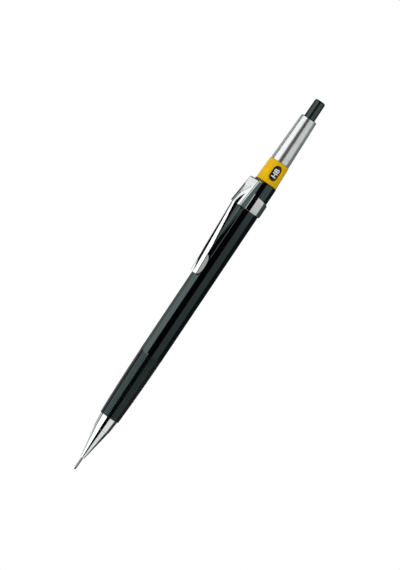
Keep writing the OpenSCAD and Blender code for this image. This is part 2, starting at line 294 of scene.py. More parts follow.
def bent_round(piece: bpy.types.Object, radius: float) -> None:
    """Bends a flat piece round the axis, so that its XZ plane wraps to the radius and -Y faces out.

    Args:
        piece: The flat piece, centred on X = 0.
        radius: Distance from the axis at which the plane Y = 0 ends up.
    """
    across = [vertex.co.x for vertex in piece.data.vertices]
    span = max(across) - min(across)
    apply(piece, "SIMPLE_DEFORM", deform_method="BEND", deform_axis="Z", angle=span / radius)
    piece.data.transform(Matrix.Translation((0, -radius, 0)))


def slot_plate(name: str, length: float, width: float, depths: Sequence[Point]) -> bpy.types.Object:
    """Makes a solid with a stadium outline in the XZ plane, standing along Z.

    Args:
        name: Name of the new piece.
        length: Length of the stadium.
        width: Width of the stadium.
        depths: Its layers as (Y, growth), where growth widens the outline by that much all round.

    Returns:
        The solid.
    """
    reach, corners = (length - width) / 2, 64
    piece = start_from(
        bpy.ops.mesh.primitive_circle_add,
        name,
        vertices=corners,
        radius=width / 2,
        fill_type="NGON",
        rotation=(math.pi / 2, math.pi / corners, 0),
        location=(0, depths[0][0], 0),
    )
    with editing(piece) as mesh:
        pick(mesh.verts, lambda vertex: vertex.co.z > 0)
        bpy.ops.transform.translate(value=(0, 0, reach))
        bpy.ops.mesh.select_all(action="INVERT")
        bpy.ops.transform.translate(value=(0, 0, -reach))
        bpy.ops.mesh.select_all(action="SELECT")
        for (y0, grown0), (y1, grown1) in pairwise(depths):
            bpy.ops.mesh.extrude_region_move(TRANSFORM_OT_translate={"value": (0, y1 - y0, 0)})
            across = (width + 2 * grown1) / (width + 2 * grown0)
            along = (length + 2 * grown1) / (length + 2 * grown0)
            bpy.ops.transform.resize(value=(across, 1, along))
    settle(piece)
    return piece


# -------------------------------------------------------------------------------------------------
# Materials
# -------------------------------------------------------------------------------------------------


def paint(red: float, green: float, blue: float) -> Colour:
    """Turns a display colour of 0 to 255 a channel into a linear one.

    Args:
        red: Red of the display colour.
        green: Its green.
        blue: Its blue.

    Returns:
        The linear colour.
    """

    def linear(value: float) -> float:
        """Turns one channel into a linear one."""
        share = value / 255
        return share / 12.92 if share <= 0.04045 else ((share + 0.055) / 1.055) ** 2.4

    return linear(red), linear(green), linear(blue)


class Wire:
    """An output of a node, with the arithmetic of plain numbers."""

    def __init__(self, recipe: "Recipe", socket: bpy.types.NodeSocket) -> None:
        """Wraps one output socket of a recipe."""
        self.recipe = recipe
        self.socket = socket

    def math(self, operation: str, first: "Wire | float", second: "Wire | float") -> "Wire":
        """Adds a Math node."""
        return self.recipe.node("ShaderNodeMath", {"operation": operation}, {0: first, 1: second})

    def __add__(self, other: "Wire | float") -> "Wire":
        """Adds a value."""
        return self.math("ADD", self, other)

    def __mul__(self, other: "Wire | float") -> "Wire":
        """Multiplies by a value."""
        return self.math("MULTIPLY", self, other)

    __radd__ = __add__
    __rmul__ = __mul__

    def ramp(self, low: float, high: float) -> "Wire":
        """Rises smoothly from 0 at low to 1 at high."""
        inputs = {"Value": self, "From Min": low, "From Max": high}
        return self.recipe.node("ShaderNodeMapRange", {"interpolation_type": "SMOOTHSTEP"}, inputs)


Value = Wire | float | Sequence[float]


class Recipe:
    """The shader of a material or of the world, while its nodes are put together."""

    def __init__(self, owner: bpy.types.Material | bpy.types.World) -> None:
        """Empties the owner's node tree.

        Args:
            owner: The material or world to work on.
        """
        owner.use_nodes = True
        self.owner = owner
        self.nodes = owner.node_tree.nodes
        self.links = owner.node_tree.links
        self.nodes.clear()

    @classmethod
    def material(cls, name: str) -> "Recipe":
        """Starts a new material."""
        return cls(bpy.data.materials.new(name))

    def node(
        self,
        kind: str,
        settings: Mapping[str, object] | None = None,
        inputs: Mapping[str | int, Value] | None = None,
        output: str | int = 0,
    ) -> Wire:
        """Adds a node.

        Args:
            kind: The node's type.
            settings: Properties of the node, set before its sockets.
            inputs: Values or links of its sockets, by name or number.
            output: The socket to hand back.

        Returns:
            The wanted output.
        """
        made = self.nodes.new(kind)
        for key, value in (settings or {}).items():
            setattr(made, key, value)
        for key, value in (inputs or {}).items():
            if isinstance(value, Wire):
                self.links.new(value.socket, made.inputs[key])
            else:
                made.inputs[key].default_value = value
        return Wire(self, made.outputs[output] if made.outputs else None)

    def place(self, rate: Direction = (1, 1, 1)) -> Wire:
        """Gives the place on the piece in millimetres, for a pattern that may be drawn out.

        Args:
            rate: How fast the pattern runs in each direction; below 1 it is drawn out.

        Returns:
            The place.
        """
        spot = self.node("ShaderNodeTexCoord", output="Object")
        scale = [factor / MM for factor in rate]
        return self.node("ShaderNodeMapping", inputs={"Vector": spot, "Scale": scale})

    def noise(self, where: Wire, size: float, detail: float = 2.0) -> Wire:
        """Gives a soft random value from 0 to 1 with features of a size in millimetres."""
        inputs = {"Vector": where, "Scale": 1 / size, "Detail": detail}
        return self.node("ShaderNodeTexNoise", inputs=inputs)

    def blend(self, share: Wire, first: Value, second: Value) -> Wire:
        """Mixes two colours.

        Args:
            share: Share of the second colour.
            first: The first colour.
            second: The second colour.

        Returns:
            The mixed colour.
        """
        sides = {0: share}
        for key, side in ((6, first), (7, second)):
            sides[key] = side if isinstance(side, Wire) else (*side, 1)
        return self.node("ShaderNodeMix", {"data_type": "RGBA"}, sides, output=2)

    def relief(self, height: Wire, depth: float) -> Wire:
        """Turns a height of 0 to 1 into a relief of a depth in millimetres."""
        inputs = {"Height": height, "Distance": depth * MM, "Strength": 1.0}
        return self.node("ShaderNodeBump", inputs=inputs)

    def finish(self, **sockets: Value) -> bpy.types.Material:
        """Closes the recipe with a Principled shader.

        Args:
            sockets: Values or links of its sockets, named with underscores for spaces.

        Returns:
            The finished material.
        """
        inputs = {key.replace("_", " "): value for key, value in sockets.items()}
        shader = self.node("ShaderNodeBsdfPrincipled", inputs=inputs)
        self.node("ShaderNodeOutputMaterial", inputs={"Surface": shader})
        return self.owner


@dataclass(frozen=True)
class Plastic:
    """A moulded plastic or rubber with a fine skin."""

    colour: Colour
    roughness: float = 0.25
    index: float = 1.5
    tint: Colour = (1, 1, 1)
    mottle: float = 0.15
    grain: float = 0.15
    grain_depth: float = 0.00015
    scuff: float = 0.5
    through: float = 0.0
    scatter: float = 0.0008
    cloud_size: float = 3.0
    rub_size: float = 0.35

    def material(self, name: str) -> bpy.types.Material:
        """Makes the material: a mottled colour, handling marks along it and the mould's fine grain.

        Args:
            name: Name of the material.

        Returns:
            The material.
        """
        recipe = Recipe.material(name)
        cloud = recipe.noise(recipe.place(), self.cloud_size, 3.0)
        rubbed = recipe.noise(recipe.place((1, 1, 0.12)), self.rub_size, 4.0).ramp(0.45, 0.75)
        grain = recipe.noise(recipe.place(), self.grain, 2.0)
        darker = tuple(channel * (1 - self.mottle) for channel in self.colour)
        lighter = tuple(min(1, channel * (1 + self.mottle)) for channel in self.colour)
        return recipe.finish(
            Base_Color=recipe.blend(cloud.ramp(0.3, 0.7), darker, lighter),
            Roughness=self.roughness * (0.85 + 0.3 * cloud + self.scuff * rubbed),
            Normal=recipe.relief(grain + 0.5 * rubbed, self.grain_depth),
            IOR=self.index,
            Specular_Tint=(*self.tint, 1),
            Subsurface_Weight=self.through,
            Subsurface_Scale=self.scatter,
        )


@dataclass(frozen=True)
class Metal:
    """A plated, drawn or turned metal with the lines that its tool left."""

    colour: Colour
    roughness: float = 0.1
    line: float = 0.05
    line_depth: float = 0.0001
    along: bool = False
    wear: float = 0.5
    tarnish: Colour | None = None
    cloud_size: float = 2.2
    scratch_w: float = 0.12
    dulled: float = 0.86

    def material(self, name: str) -> bpy.types.Material:
        """Makes the material: tool lines, hairline scratches and a cloudy polish.

        Args:
            name: Name of the material.

        Returns:
            The material.
        """
        recipe = Recipe.material(name)
        rate = (1, 1, 0.01) if self.along else (0.02, 0.02, 1)
        lines = recipe.noise(recipe.place(rate), self.line, 2.0)
        cloud = recipe.noise(recipe.place(), self.cloud_size, 4.0)
        scratch = recipe.noise(recipe.place((1, 1, 0.06)), self.scratch_w, 3.0).ramp(0.66, 0.74)
        dull = tuple(channel * self.dulled for channel in self.colour)
        share = cloud.ramp(0.35, 0.8) * 0.6 + scratch * 0.3
        return recipe.finish(
            Base_Color=recipe.blend(share, self.colour, self.tarnish or dull),
            Roughness=self.roughness * (0.8 + 0.4 * cloud + self.wear * scratch),
            Normal=recipe.relief(lines, self.line_depth),
            Metallic=1.0,
        )


@dataclass(frozen=True)
class Crumb:
    """A soft matt stuff, such as vinyl, graphite or ink, with pits and smudges."""

    colour: Colour
    smudge: Colour
    roughness: float = 0.75
    pit: float = 0.08
    pit_depth: float = 0.006
    gloss: float = 0.5
    smudge_size: float = 0.9

    def material(self, name: str) -> bpy.types.Material:
        """Makes the material: smudges in the colour, and pits in the skin.

        Args:
            name: Name of the material.

        Returns:
            The material.
        """
        recipe = Recipe.material(name)
        cloud = recipe.noise(recipe.place(), self.smudge_size, 5.0).ramp(0.5, 0.85)
        pits = recipe.noise(recipe.place(), self.pit, 3.0)
        return recipe.finish(
            Base_Color=recipe.blend(cloud, self.colour, self.smudge),
            Roughness=self.roughness * (0.85 + 0.3 * pits),
            Normal=recipe.relief(pits, self.pit_depth),
            Specular_IOR_Level=self.gloss,
        )


class Slot(Enum):
    """The record's material slots."""

    BARREL = "barrel_black"
    CONE = "cone_chrome"
    PIPE = "pipe_steel"
    RETAINER = "retainer_rubber"
    CHUCK = "chuck_brass"
    SPRING = "spring_steel"
    TUBE = "tube_plastic"
    LEAD = "graphite"
    BUTTON = "button_black"
    ERASER = "eraser_white"
    FERRULE = "ferrule_steel"
    NEEDLE = "needle_steel"
    SLEEVE = "sleeve_black"
    RING = "ring_yellow"
    TOP_TUBE = "tube_silver"
    CLIP = "clip_chrome"


BLACK = (0.0008, 0.001, 0.001)
COOL = (0.72, 1.0, 0.97)
CHROME = (0.80, 0.82, 0.82)
BRASS = paint(214, 178, 104)
YELLOW = paint(244, 194, 6)

FINISHES = {
    Slot.BARREL: Plastic(BLACK, 0.10, 1.72, COOL),
    Slot.CONE: Metal(CHROME, 0.07, line=0.08, line_depth=0.00006),
    Slot.PIPE: Metal((0.36, 0.37, 0.37), 0.34, line=0.03, along=True),
    Slot.RETAINER: Plastic(paint(40, 40, 42), 0.7, grain=0.05, grain_depth=0.003),
    Slot.CHUCK: Metal(BRASS, 0.2, line=0.05, line_depth=0.0006, tarnish=paint(176, 132, 66)),
    Slot.SPRING: Metal((0.60, 0.61, 0.63), 0.22, line=0.04, line_depth=0.0002),
    Slot.TUBE: Plastic(paint(226, 228, 222), 0.3, grain=0.1, through=0.3, mottle=0.03),
    Slot.LEAD: Metal((0.055, 0.056, 0.06), 0.38, line=0.03, line_depth=0.0008),
    Slot.BUTTON: Plastic(BLACK, 0.10, 1.72, COOL),
    Slot.ERASER: Crumb(paint(238, 238, 233), paint(196, 196, 192)),
    Slot.FERRULE: Metal((0.78, 0.79, 0.80), 0.24, line=0.06, line_depth=0.0005),
    Slot.NEEDLE: Metal((0.60, 0.61, 0.62), 0.18, line=0.03, along=True),
    Slot.SLEEVE: Plastic(paint(9, 10, 10), 0.22, 1.52),
    Slot.RING: Plastic(YELLOW, 0.2, 1.45, (1.0, 0.75, 0.15), mottle=0.03),
    Slot.TOP_TUBE: Metal((0.78, 0.80, 0.80), 0.26, line=0.05, line_depth=0.00005),
    Slot.CLIP: Metal(CHROME, 0.09, line=0.10, line_depth=0.00008, along=True),
}

INK = Crumb(paint(252, 252, 249), paint(240, 240, 237), pit_depth=0.001)


# -------------------------------------------------------------------------------------------------
# Fitting
# -------------------------------------------------------------------------------------------------


class Body(Enum):
    """The bodies that move against each other."""

    BARREL = "barrel"
    TIP = "tip"
    MECHANISM = "mechanism"
    CLUTCH = "clutch"
    LEAD = "lead"
    CAP = "cap"
    ERASER = "eraser"
    RING = "ring"
    CLIP = "clip"


@dataclass(frozen=True)
class Span:
    """The heights between which a CAD node lies, in millimetres."""

    low: float
    high: float

    @classmethod
    def of(cls, node: str) -> "Span":
        """Reads the heights of a node's lowest and highest points."""
        low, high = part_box(node)
        return cls(low.z / MM, high.z / MM)


@dataclass(frozen=True)
class Piece:
    """A finished piece on the bench, with what it takes to fit it."""

    shape: bpy.types.Object
    body: Body
    slot: Slot | None
    node: str | None
    sharp: float = 35.0
    finish: Crumb | None = None

    def fit(self) -> bpy.types.Object:
        """Smooths the piece, brings it into the row frame, dresses it and hangs it on its body.

        Returns:
            The fitted object.
        """
        shape = self.shape
        only(shape)
        bpy.ops.object.shade_smooth_by_angle(angle=math.radians(self.sharp))
        shape.data.transform(Matrix.Scale(MM, 4))
        apply(shape, "WEIGHTED_NORMAL", keep_sharp=True)
        finish = self.finish or FINISHES[self.slot]
        label = f"finish_{self.slot.value if self.slot else shape.name}"
        shape.data.materials.clear()
        shape.data.materials.append(bpy.data.materials.get(label) or finish.material(label))
        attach(shape, self.body.value)
        if self.node:
            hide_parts(self.node)
        LOG.info("%s rides on %s, %d faces", shape.name, self.body.value, len(shape.data.polygons))
        return shape


# -------------------------------------------------------------------------------------------------
# Sub-assemblies
# -------------------------------------------------------------------------------------------------


@dataclass(frozen=True)
class Tip:
    """The chromed cone with its threaded spigot, the guide pipe, the lead retainer and the lead."""

    # The cone, with the groove of its parting line and the collar above it.
    nose_r: float = 0.70
    nose_edge: float = 0.14
    line_r: float = 2.62
    line_step: float = 0.07
    line_w: float = 0.14
    line_cut: float = 0.17
    line_lean: float = 0.01
    line_edge: float = 0.02
    top_r: float = 3.10
    face_gap: float = 0.02

    # The spigot, from the cone's face up: its relief groove and its thread.
    spigot_r: float = 2.70
    spigot_len: float = 7.4
    collar_len: float = 4.7
    relief_r: float = 2.48
    relief_len: float = 0.8
    relief_rise: float = 0.2
    chamfer: float = 0.25
    pitch: float = 0.6
    thread_depth: float = 0.18
    thread_flank: float = 1.6
    thread_steps: int = 36

    # The bores, the pipe, the retainer with its funnel, and the lead.
    housing_bore: float = 2.15
    room_r: float = 1.40
    room_len: float = 4.4
    pipe_r: float = 0.40
    pipe_bore: float = 0.31
    retainer_r: float = 1.00
    funnel_r: float = 0.65
    funnel_len: float = 0.8
    funnel_foot: float = 0.05
    lead_r: float = 0.28
    lead_gap: float = 0.02
    slant: Direction = (0.35, 0.3, -0.9)
    worn: float = 0.07

    def build(self) -> list[Piece]:
        """Makes the pieces of the tip.

        Returns:
            The cone, the pipe, the retainer and the lead.
        """
        return [
            Piece(self.cone(), Body.TIP, Slot.CONE, "tip_cone", sharp=28),
            Piece(self.pipe(), Body.TIP, Slot.PIPE, "guide_pipe"),
            Piece(self.retainer(), Body.TIP, Slot.RETAINER, "lead_retainer"),
            Piece(self.lead(), Body.LEAD, Slot.LEAD, "lead"),
        ]

    def cone(self) -> bpy.types.Object:
        """Turns the cone and its bores, and cuts the thread into its spigot.

        Returns:
            The cone.
        """
        span, pipe, retainer = map(Span.of, ("tip_cone", "guide_pipe", "lead_retainer"))
        seat_z = span.high - self.spigot_len
        face_z = seat_z - self.face_gap
        thread_z = seat_z + self.relief_len
        line_z = seat_z - self.collar_len
        line_floor = self.line_r - self.line_cut
        stop_z = retainer.high + self.room_len
        cone = turned(
            "tip_cone_turned",
            [
                (self.pipe_r, span.low),
                (self.nose_r, span.low, self.nose_edge),
                (self.line_r - self.line_edge, line_z - self.line_w, self.line_edge),
                (line_floor, line_z - self.line_w + self.line_lean),
                (line_floor, line_z - self.line_lean),
                (self.line_r + self.line_step, line_z, Edge.KEEN),
                (self.top_r, face_z, Edge.EASED),
                (self.relief_r, face_z),
                (self.relief_r, thread_z - self.relief_rise),
                (self.spigot_r, thread_z, Edge.FINE),
                (self.spigot_r, span.high - self.chamfer, Edge.FINE),
                (self.spigot_r - self.chamfer, span.high, Edge.FINE),
                (self.housing_bore, span.high, Edge.FINE),
                (self.housing_bore, stop_z),
                (self.room_r, stop_z, Edge.EASED),
                (self.room_r, retainer.high),
                (self.retainer_r, retainer.high),
                (self.retainer_r, pipe.high),
                (self.pipe_r, pipe.high),
            ],
            hollow=True,
        )
        self.cut_thread(cone, thread_z, span.high)
        return cone

    def cut_thread(self, cone: bpy.types.Object, low: float, high: float) -> None:
        """Cuts a helical groove into the spigot.

        Args:
            cone: The cone to cut.
            low: Height at which the groove starts.
            high: Height of the spigot's end.
        """
        turns = int((high - low) / self.pitch)
        radius = self.thread_depth * self.thread_flank
        tool = start_from(
            bpy.ops.mesh.primitive_circle_add,
            "thread_tool",
            vertices=3,
            radius=radius,
            fill_type="NOTHING",
            rotation=(math.pi / 2, -math.pi / 2, 0),
            location=(self.spigot_r - self.thread_depth + radius, 0, low),
        )
        apply(
            tool,
            "SCREW",
            axis="Z",
            screw_offset=self.pitch * turns,
            angle=math.tau * turns,
            steps=self.thread_steps * turns,
            render_steps=self.thread_steps * turns,
            use_merge_vertices=True,
            merge_threshold=MERGE,
        )
        with editing(tool):
            bpy.ops.mesh.select_non_manifold()
            bpy.ops.mesh.edge_face_add()
        settle(tool)
        carve(cone, tool)

    def pipe(self) -> bpy.types.Object:
        """Draws the guide pipe, with its end rounded so that it glides on paper.

        Returns:
            The pipe.
        """
        span = Span.of("guide_pipe")
        return turned(
            "guide_pipe_drawn",
            [
                (self.pipe_bore, span.low, Edge.KEEN),
                (self.pipe_r, span.low, Edge.EASED),
                (self.pipe_r, span.high, Edge.KEEN),
                (self.pipe_bore, span.high),
            ],
            hollow=True,
            steps=48,
        )

    def retainer(self) -> bpy.types.Object:
        """Moulds the rubber retainer with its funnel.

        Returns:
            The retainer.
        """
        span = Span.of("lead_retainer")
        bore = self.lead_r + self.lead_gap
        funnel_z = span.high - self.funnel_len
        return turned(
            "lead_retainer_moulded",
            [
                (bore, span.low),
                (self.retainer_r, span.low, Edge.SOFT),
                (self.retainer_r, span.high, Edge.SOFT),
                (self.funnel_r, span.high, Edge.FINE),
                (self.lead_r + self.funnel_foot, funnel_z, Edge.FINE),
                (bore, funnel_z - self.funnel_foot),
            ],
            hollow=True,
            steps=48,
        )

    def lead(self) -> bpy.types.Object:
        """Makes the lead in use, its end worn to a slant.

        Returns:
            The lead.
        """
        span = Span.of("lead")
        lead = turned(
            "lead_worn",
            [
                (0, span.low),
                (self.lead_r, span.low, Edge.FINE),
                (self.lead_r, span.high, Edge.KEEN),
                (0, span.high),
            ],
            steps=32,
        )
        spot, slant = (0, 0, span.low + self.worn), Vector(self.slant).normalized()
        with editing(lead):
            bpy.ops.mesh.select_all(action="SELECT")
            bpy.ops.mesh.bisect(plane_co=spot, plane_no=slant, use_fill=True, clear_outer=True)
        settle(lead)
        return lead


@dataclass(frozen=True)
class Barrel:
    """The barrel's one moulding: ribbed grip, twelve facets, round seat and rear neck."""

    # The grip, which swells from its foot, and its ribs.
    grip_len: float = 24.0
    foot_r: float = 3.42
    head_r: float = 3.96
    swell: float = 1.8
    ribs: int = 41
    land: float = 0.6
    rib_depth: float = 0.14
    rib_edge: float = 0.04

    # The facets, pressed into round stock.
    facets: int = 12
    corner_r: float = 4.02
    corner_soft: float = 0.16
    facet_turn: float = -7.0
    foot_soft: float = 0.12
    lap: float = 0.03
    stock: float = 0.3

    # The clip's seat, the neck for the ring and the bores.
    seat_r: float = 3.92
    seat_len: float = 10.7
    neck_r: float = 2.55
    neck_bore: float = 1.90
    neck_depth: float = 5.0
    bore: float = 2.30
    spigot_bore: float = 2.72

    def build(self) -> list[Piece]:
        """Makes the barrel."""
        return [Piece(self.moulding(), Body.BARREL, Slot.BARREL, "barrel", sharp=28)]

    def grip_r(self, height: float) -> float:
        """Gives the grip's radius at a height above its foot."""
        low = max(0.0, self.grip_len - height) / self.grip_len
        return self.head_r - (self.head_r - self.foot_r) * low**self.swell

    def rib_outline(self, foot: float) -> list[Sequence[float]]:
        """Gives the corners of all ribs, each a land with soft edges and then a slanting groove.

        Args:
            foot: Height of the grip's foot.

        Returns:
            The corners, from the foot up.
        """
        pitch = self.grip_len / self.ribs
        corners: list[Sequence[float]] = []
        for rib in range(self.ribs):
            z = rib * pitch
            edge = z + self.land * pitch
            floor = self.grip_r(edge) - self.rib_depth
            corners += [
                (self.grip_r(z), foot + z, self.rib_edge),
                (self.grip_r(edge), foot + edge, self.rib_edge),
                (floor, foot + z + pitch - self.rib_edge),
            ]
        return corners[:-1]

    def moulding(self) -> bpy.types.Object:
        """Turns the barrel and presses the facets into it.

        Returns:
            The barrel.
        """
        span, sleeve, housing = map(Span.of, ("barrel", "grade_sleeve", "chuck_housing"))
        facet_z = span.low + self.grip_len
        seat_top = sleeve.low
        seat_z = seat_top - self.seat_len
        step_z = housing.high - Mechanism.neck_len
        stock_r, grip_top = self.corner_r + self.stock, self.grip_r(self.grip_len)
        barrel = turned(
            "barrel_moulding",
            [
                (self.spigot_bore, span.low, Edge.FINE),
                *self.rib_outline(span.low),
                (grip_top, facet_z - self.foot_soft, Edge.KEEN),
                (grip_top, facet_z + self.lap),
                (stock_r, facet_z + self.lap),
                (stock_r, seat_z - self.lap),
                (self.seat_r, seat_z - self.lap),
                (self.seat_r, seat_top, Edge.FULL),
                (self.neck_r, seat_top),
                (self.neck_r, span.high, Edge.BROAD),
                (self.neck_bore, span.high, Edge.SOFT),
                (self.neck_bore, seat_top - self.neck_depth),
                (self.bore, seat_top - self.neck_depth),
                (self.bore, step_z),
                (self.spigot_bore, step_z),
            ],
            hollow=True,
        )
        carve(barrel, self.facet_mask(facet_z, seat_z, span), "INTERSECT")
        return barrel

    def facet_mask(self, low: float, high: float, span: Span) -> bpy.types.Object:
        """Makes the form that presses the facets: a prism between two wide drums.

        Args:
            low: Height at which the facets start.
            high: Height at which they end.
            span: Where the barrel lies.

        Returns:
            The form.
        """
        wide = 4 * self.corner_r
        mask = turned(
            "facet_mask",
            [
                (0, span.low - PAST),
                (wide, span.low - PAST),
                (wide, low),
                (self.corner_r, low),
                (self.corner_r, high),
                (wide, high),
                (wide, span.high + PAST),
                (0, span.high + PAST),
            ],
            steps=self.facets,
        )
        with editing(mask, "EDGE") as mesh:
            pick(mesh.edges, self.is_facet_corner)
            bpy.ops.mesh.bevel(offset=self.corner_soft, segments=3, profile=0.5, affect="EDGES")
        return spun(mask, self.facet_turn)

    def is_facet_corner(self, edge: bmesh.types.BMEdge) -> bool:
        """Tells whether an edge runs upright along a corner of the prism.

        Args:
            edge: An edge of the form.

        Returns:
            Whether it does.
        """
        first, second = (vertex.co for vertex in edge.verts)
        upright = abs(first.z - second.z) > 1 and (first.xy - second.xy).length < MERGE
        return upright and abs(first.xy.length - self.corner_r) < MERGE


@dataclass(frozen=True)
class Mechanism:
    """The chuck with its ring, housing, spring and joint, the lead tube and the spare leads."""

    # The chuck and its slits.
    head_r: float = 1.25
    nose_in: float = 0.25
    nose_len: float = 0.5
    shank_r: float = 0.90
    shank_step: float = 0.1
    lead_r: float = Tip.lead_r
    lead_gap: float = Tip.lead_gap
    rear_gap: float = 0.22
    guide_len: float = 0.5
    jaws: int = 3
    slit: float = 0.22
    slit_len: float = 11.3
    slit_turn: float = 7.0
    taper_len: float = 3.4

    # The clutch ring, the housing and the spring.
    clutch_r: float = 1.60
    clutch_bore: float = 1.20
    clutch_gap: float = 0.05
    housing_r: float = 2.10
    flange_r: float = 2.66
    flange_len: float = 1.0
    neck_len: float = 3.3
    throat_r: float = 1.08
    spring_bore: float = 1.75
    spring_gap: float = 0.02
    coil_r: float = 1.35
    wire_r: float = 0.16
    turns: int = 10
    turn_steps: int = 24
    flat: float = 0.3

    # The joint with its funnel, the lead tube and the spare leads.
    joint_r: float = 1.65
    joint_bore: float = 0.45
    joint_len: float = 4.0
    socket_len: float = 3.0
    funnel_rim: float = 0.2
    funnel_edge: float = 0.06
    funnel_len: float = 2.5
    tube_r: float = 1.50
    tube_bore: float = 1.20
    spare_ring: float = 0.74
    spares: int = 3

    def build(self) -> list[Piece]:
        """Makes the pieces of the mechanism.

        Returns:
            The mechanism's pieces, the spring last.
        """
        return [
            Piece(self.chuck(), Body.MECHANISM, Slot.CHUCK, "chuck", sharp=30),
            Piece(self.clutch_ring(), Body.CLUTCH, Slot.CHUCK, "clutch_ring"),
            Piece(self.housing(), Body.BARREL, Slot.CHUCK, "chuck_housing"),
            Piece(self.joint(), Body.MECHANISM, Slot.CHUCK, "tube_joint"),
            Piece(self.lead_tube(), Body.MECHANISM, Slot.TUBE, "lead_tube"),
            Piece(self.spare_leads(), Body.MECHANISM, Slot.LEAD, "spare_leads"),
            Piece(self.spring(), Body.BARREL, Slot.SPRING, "chuck_spring", sharp=60),
        ]

    def chuck(self) -> bpy.types.Object:
        """Turns the chuck and saws the slits between its jaws.

        Returns:
            The chuck.
        """
        span = Span.of("chuck")
        bore, rear_bore = self.lead_r + self.lead_gap, self.lead_r + self.rear_gap
        taper_z = span.low + self.taper_len
        guide_z = taper_z - self.guide_len
        chuck = turned(
            "chuck_slit",
            [
                (bore, span.low, Edge.EASED),
                (self.head_r - self.nose_in, span.low, Edge.FINE),
                (self.head_r, span.low + self.nose_len, Edge.EASED),
                (self.shank_r + self.shank_step, taper_z),
                (self.shank_r, taper_z + self.shank_step),
                (self.shank_r, span.high, Edge.EASED),
                (rear_bore, span.high),
                (rear_bore, guide_z),
                (bore, guide_z),
            ],
            hollow=True,
            steps=SMALL_ROUND,
        )
        low, high = span.low - PAST, span.low + self.slit_len
        for jaw in range(self.jaws):
            saw = start_from(bpy.ops.mesh.primitive_cube_add, "saw", size=1)
            saw.data.transform(Matrix.Diagonal((2 * self.head_r, self.slit, high - low, 1)))
            saw.data.transform(Matrix.Translation((self.head_r, 0, (low + high) / 2)))
            carve(chuck, spun(saw, jaw * 360 / self.jaws + self.slit_turn))
        return chuck

    def clutch_ring(self) -> bpy.types.Object:
        """Turns the ring that closes the jaws, with a lead-in at both ends.

        Returns:
            The ring.
        """
        span = Span.of("clutch_ring")
        return turned(
            "clutch_ring_turned",
            [
                (self.clutch_bore, span.low, Edge.FULL),
                (self.clutch_r, span.low, Edge.BROAD),
                (self.clutch_r, span.high, Edge.BROAD),
                (self.clutch_bore, span.high, Edge.FULL),
            ],
            hollow=True,
            steps=64,
        )

    def housing(self) -> bpy.types.Object:
        """Turns the housing with its seat for the ring, shoulder for the spring and flange.

        Returns:
            The housing.
        """
        span, clutch, spring = map(Span.of, ("chuck_housing", "clutch_ring", "chuck_spring"))
        flange_top = span.high - self.neck_len
        flange_z = flange_top - self.flange_len
        clutch_room, shoulder_z = self.clutch_r + self.clutch_gap, clutch.high + self.clutch_gap
        spring_z = spring.low - self.spring_gap
        return turned(
            "chuck_housing_turned",
            [
                (clutch_room, span.low, Edge.FINE),
                (self.housing_r, span.low, Edge.BROAD),
                (self.housing_r, flange_z),
                (self.flange_r, flange_z, Edge.EASED),
                (self.flange_r, flange_top, Edge.EASED),
                (self.housing_r, flange_top),
                (self.housing_r, span.high, Edge.BROAD),
                (self.spring_bore, span.high, Edge.EASED),
                (self.spring_bore, spring_z),
                (self.throat_r, spring_z, Edge.SOFT),
                (self.throat_r, shoulder_z, Edge.SOFT),
                (clutch_room, shoulder_z),
            ],
            hollow=True,
        )

    def coil_rise(self, share: float) -> float:
        """Gives how far the wire has risen at a share of its length: slowly in the end turns.

        Args:
            share: Share of the wire's length, from 0 to 1.

        Returns:
            Share of the spring's height.
        """
        end = 1 / self.turns
        if share < end:
            return self.flat * share
        if share > 1 - end:
            return 1 - self.flat * (1 - share)
        rise = (1 - 2 * self.flat * end) / (1 - 2 * end)
        return self.flat * end + (share - end) * rise

    def spring(self) -> bpy.types.Object:
        """Winds the return spring, with a flat turn at each end.

        Returns:
            The spring.
        """
        span = Span.of("chuck_spring")
        low, high = span.low + self.wire_r, span.high - self.wire_r
        steps = self.turn_steps * self.turns
        curve = bpy.data.curves.new("chuck_spring_wound", "CURVE")
        curve.dimensions = "3D"
        curve.bevel_depth = self.wire_r
        curve.bevel_resolution = 3
        curve.use_fill_caps = True
        wire = curve.splines.new("POLY")
        wire.points.add(steps)
        for step, point in enumerate(wire.points):
            turn = math.tau * self.turns * step / steps
            height = low + (high - low) * self.coil_rise(step / steps)
            point.co = (self.coil_r * math.cos(turn), self.coil_r * math.sin(turn), height, 1)
        spring = bpy.data.objects.new("chuck_spring_wound", curve)
        bpy.context.scene.collection.objects.link(spring)
        only(spring)
        bpy.ops.object.convert(target="MESH")
        settle(spring)
        return spring

    def joint(self) -> bpy.types.Object:
        """Turns the joint between the chuck's shank and the lead tube, with the leads' funnel.

        Returns:
            The joint.
        """
        span = Span.of("tube_joint")
        tube_z, socket_z = span.low + self.joint_len, span.low + self.socket_len
        return turned(
            "tube_joint_turned",
            [
                (self.shank_r, span.low, Edge.FINE),
                (self.joint_r, span.low, Edge.FULL),
                (self.joint_r, tube_z, Edge.SOFT),
                (self.tube_bore, tube_z),
                (self.tube_bore, span.high, self.funnel_edge),
                (self.tube_bore - self.funnel_rim, span.high, Edge.KEEN),
                (self.joint_bore, span.high - self.funnel_len),
                (self.joint_bore, socket_z),
                (self.shank_r, socket_z),
            ],
            hollow=True,
            steps=SMALL_ROUND,
        )

    def lead_tube(self) -> bpy.types.Object:
        """Draws the plastic tube that holds the spare leads.

        Returns:
            The tube.
        """
        span = Span.of("lead_tube")
        return turned(
            "lead_tube_drawn",
            [
                (self.tube_bore, span.low, Edge.FINE),
                (self.tube_r, span.low, Edge.EASED),
                (self.tube_r, span.high, Edge.FULL),
                (self.tube_bore, span.high, Edge.SOFT),
            ],
            hollow=True,
            steps=SMALL_ROUND,
        )

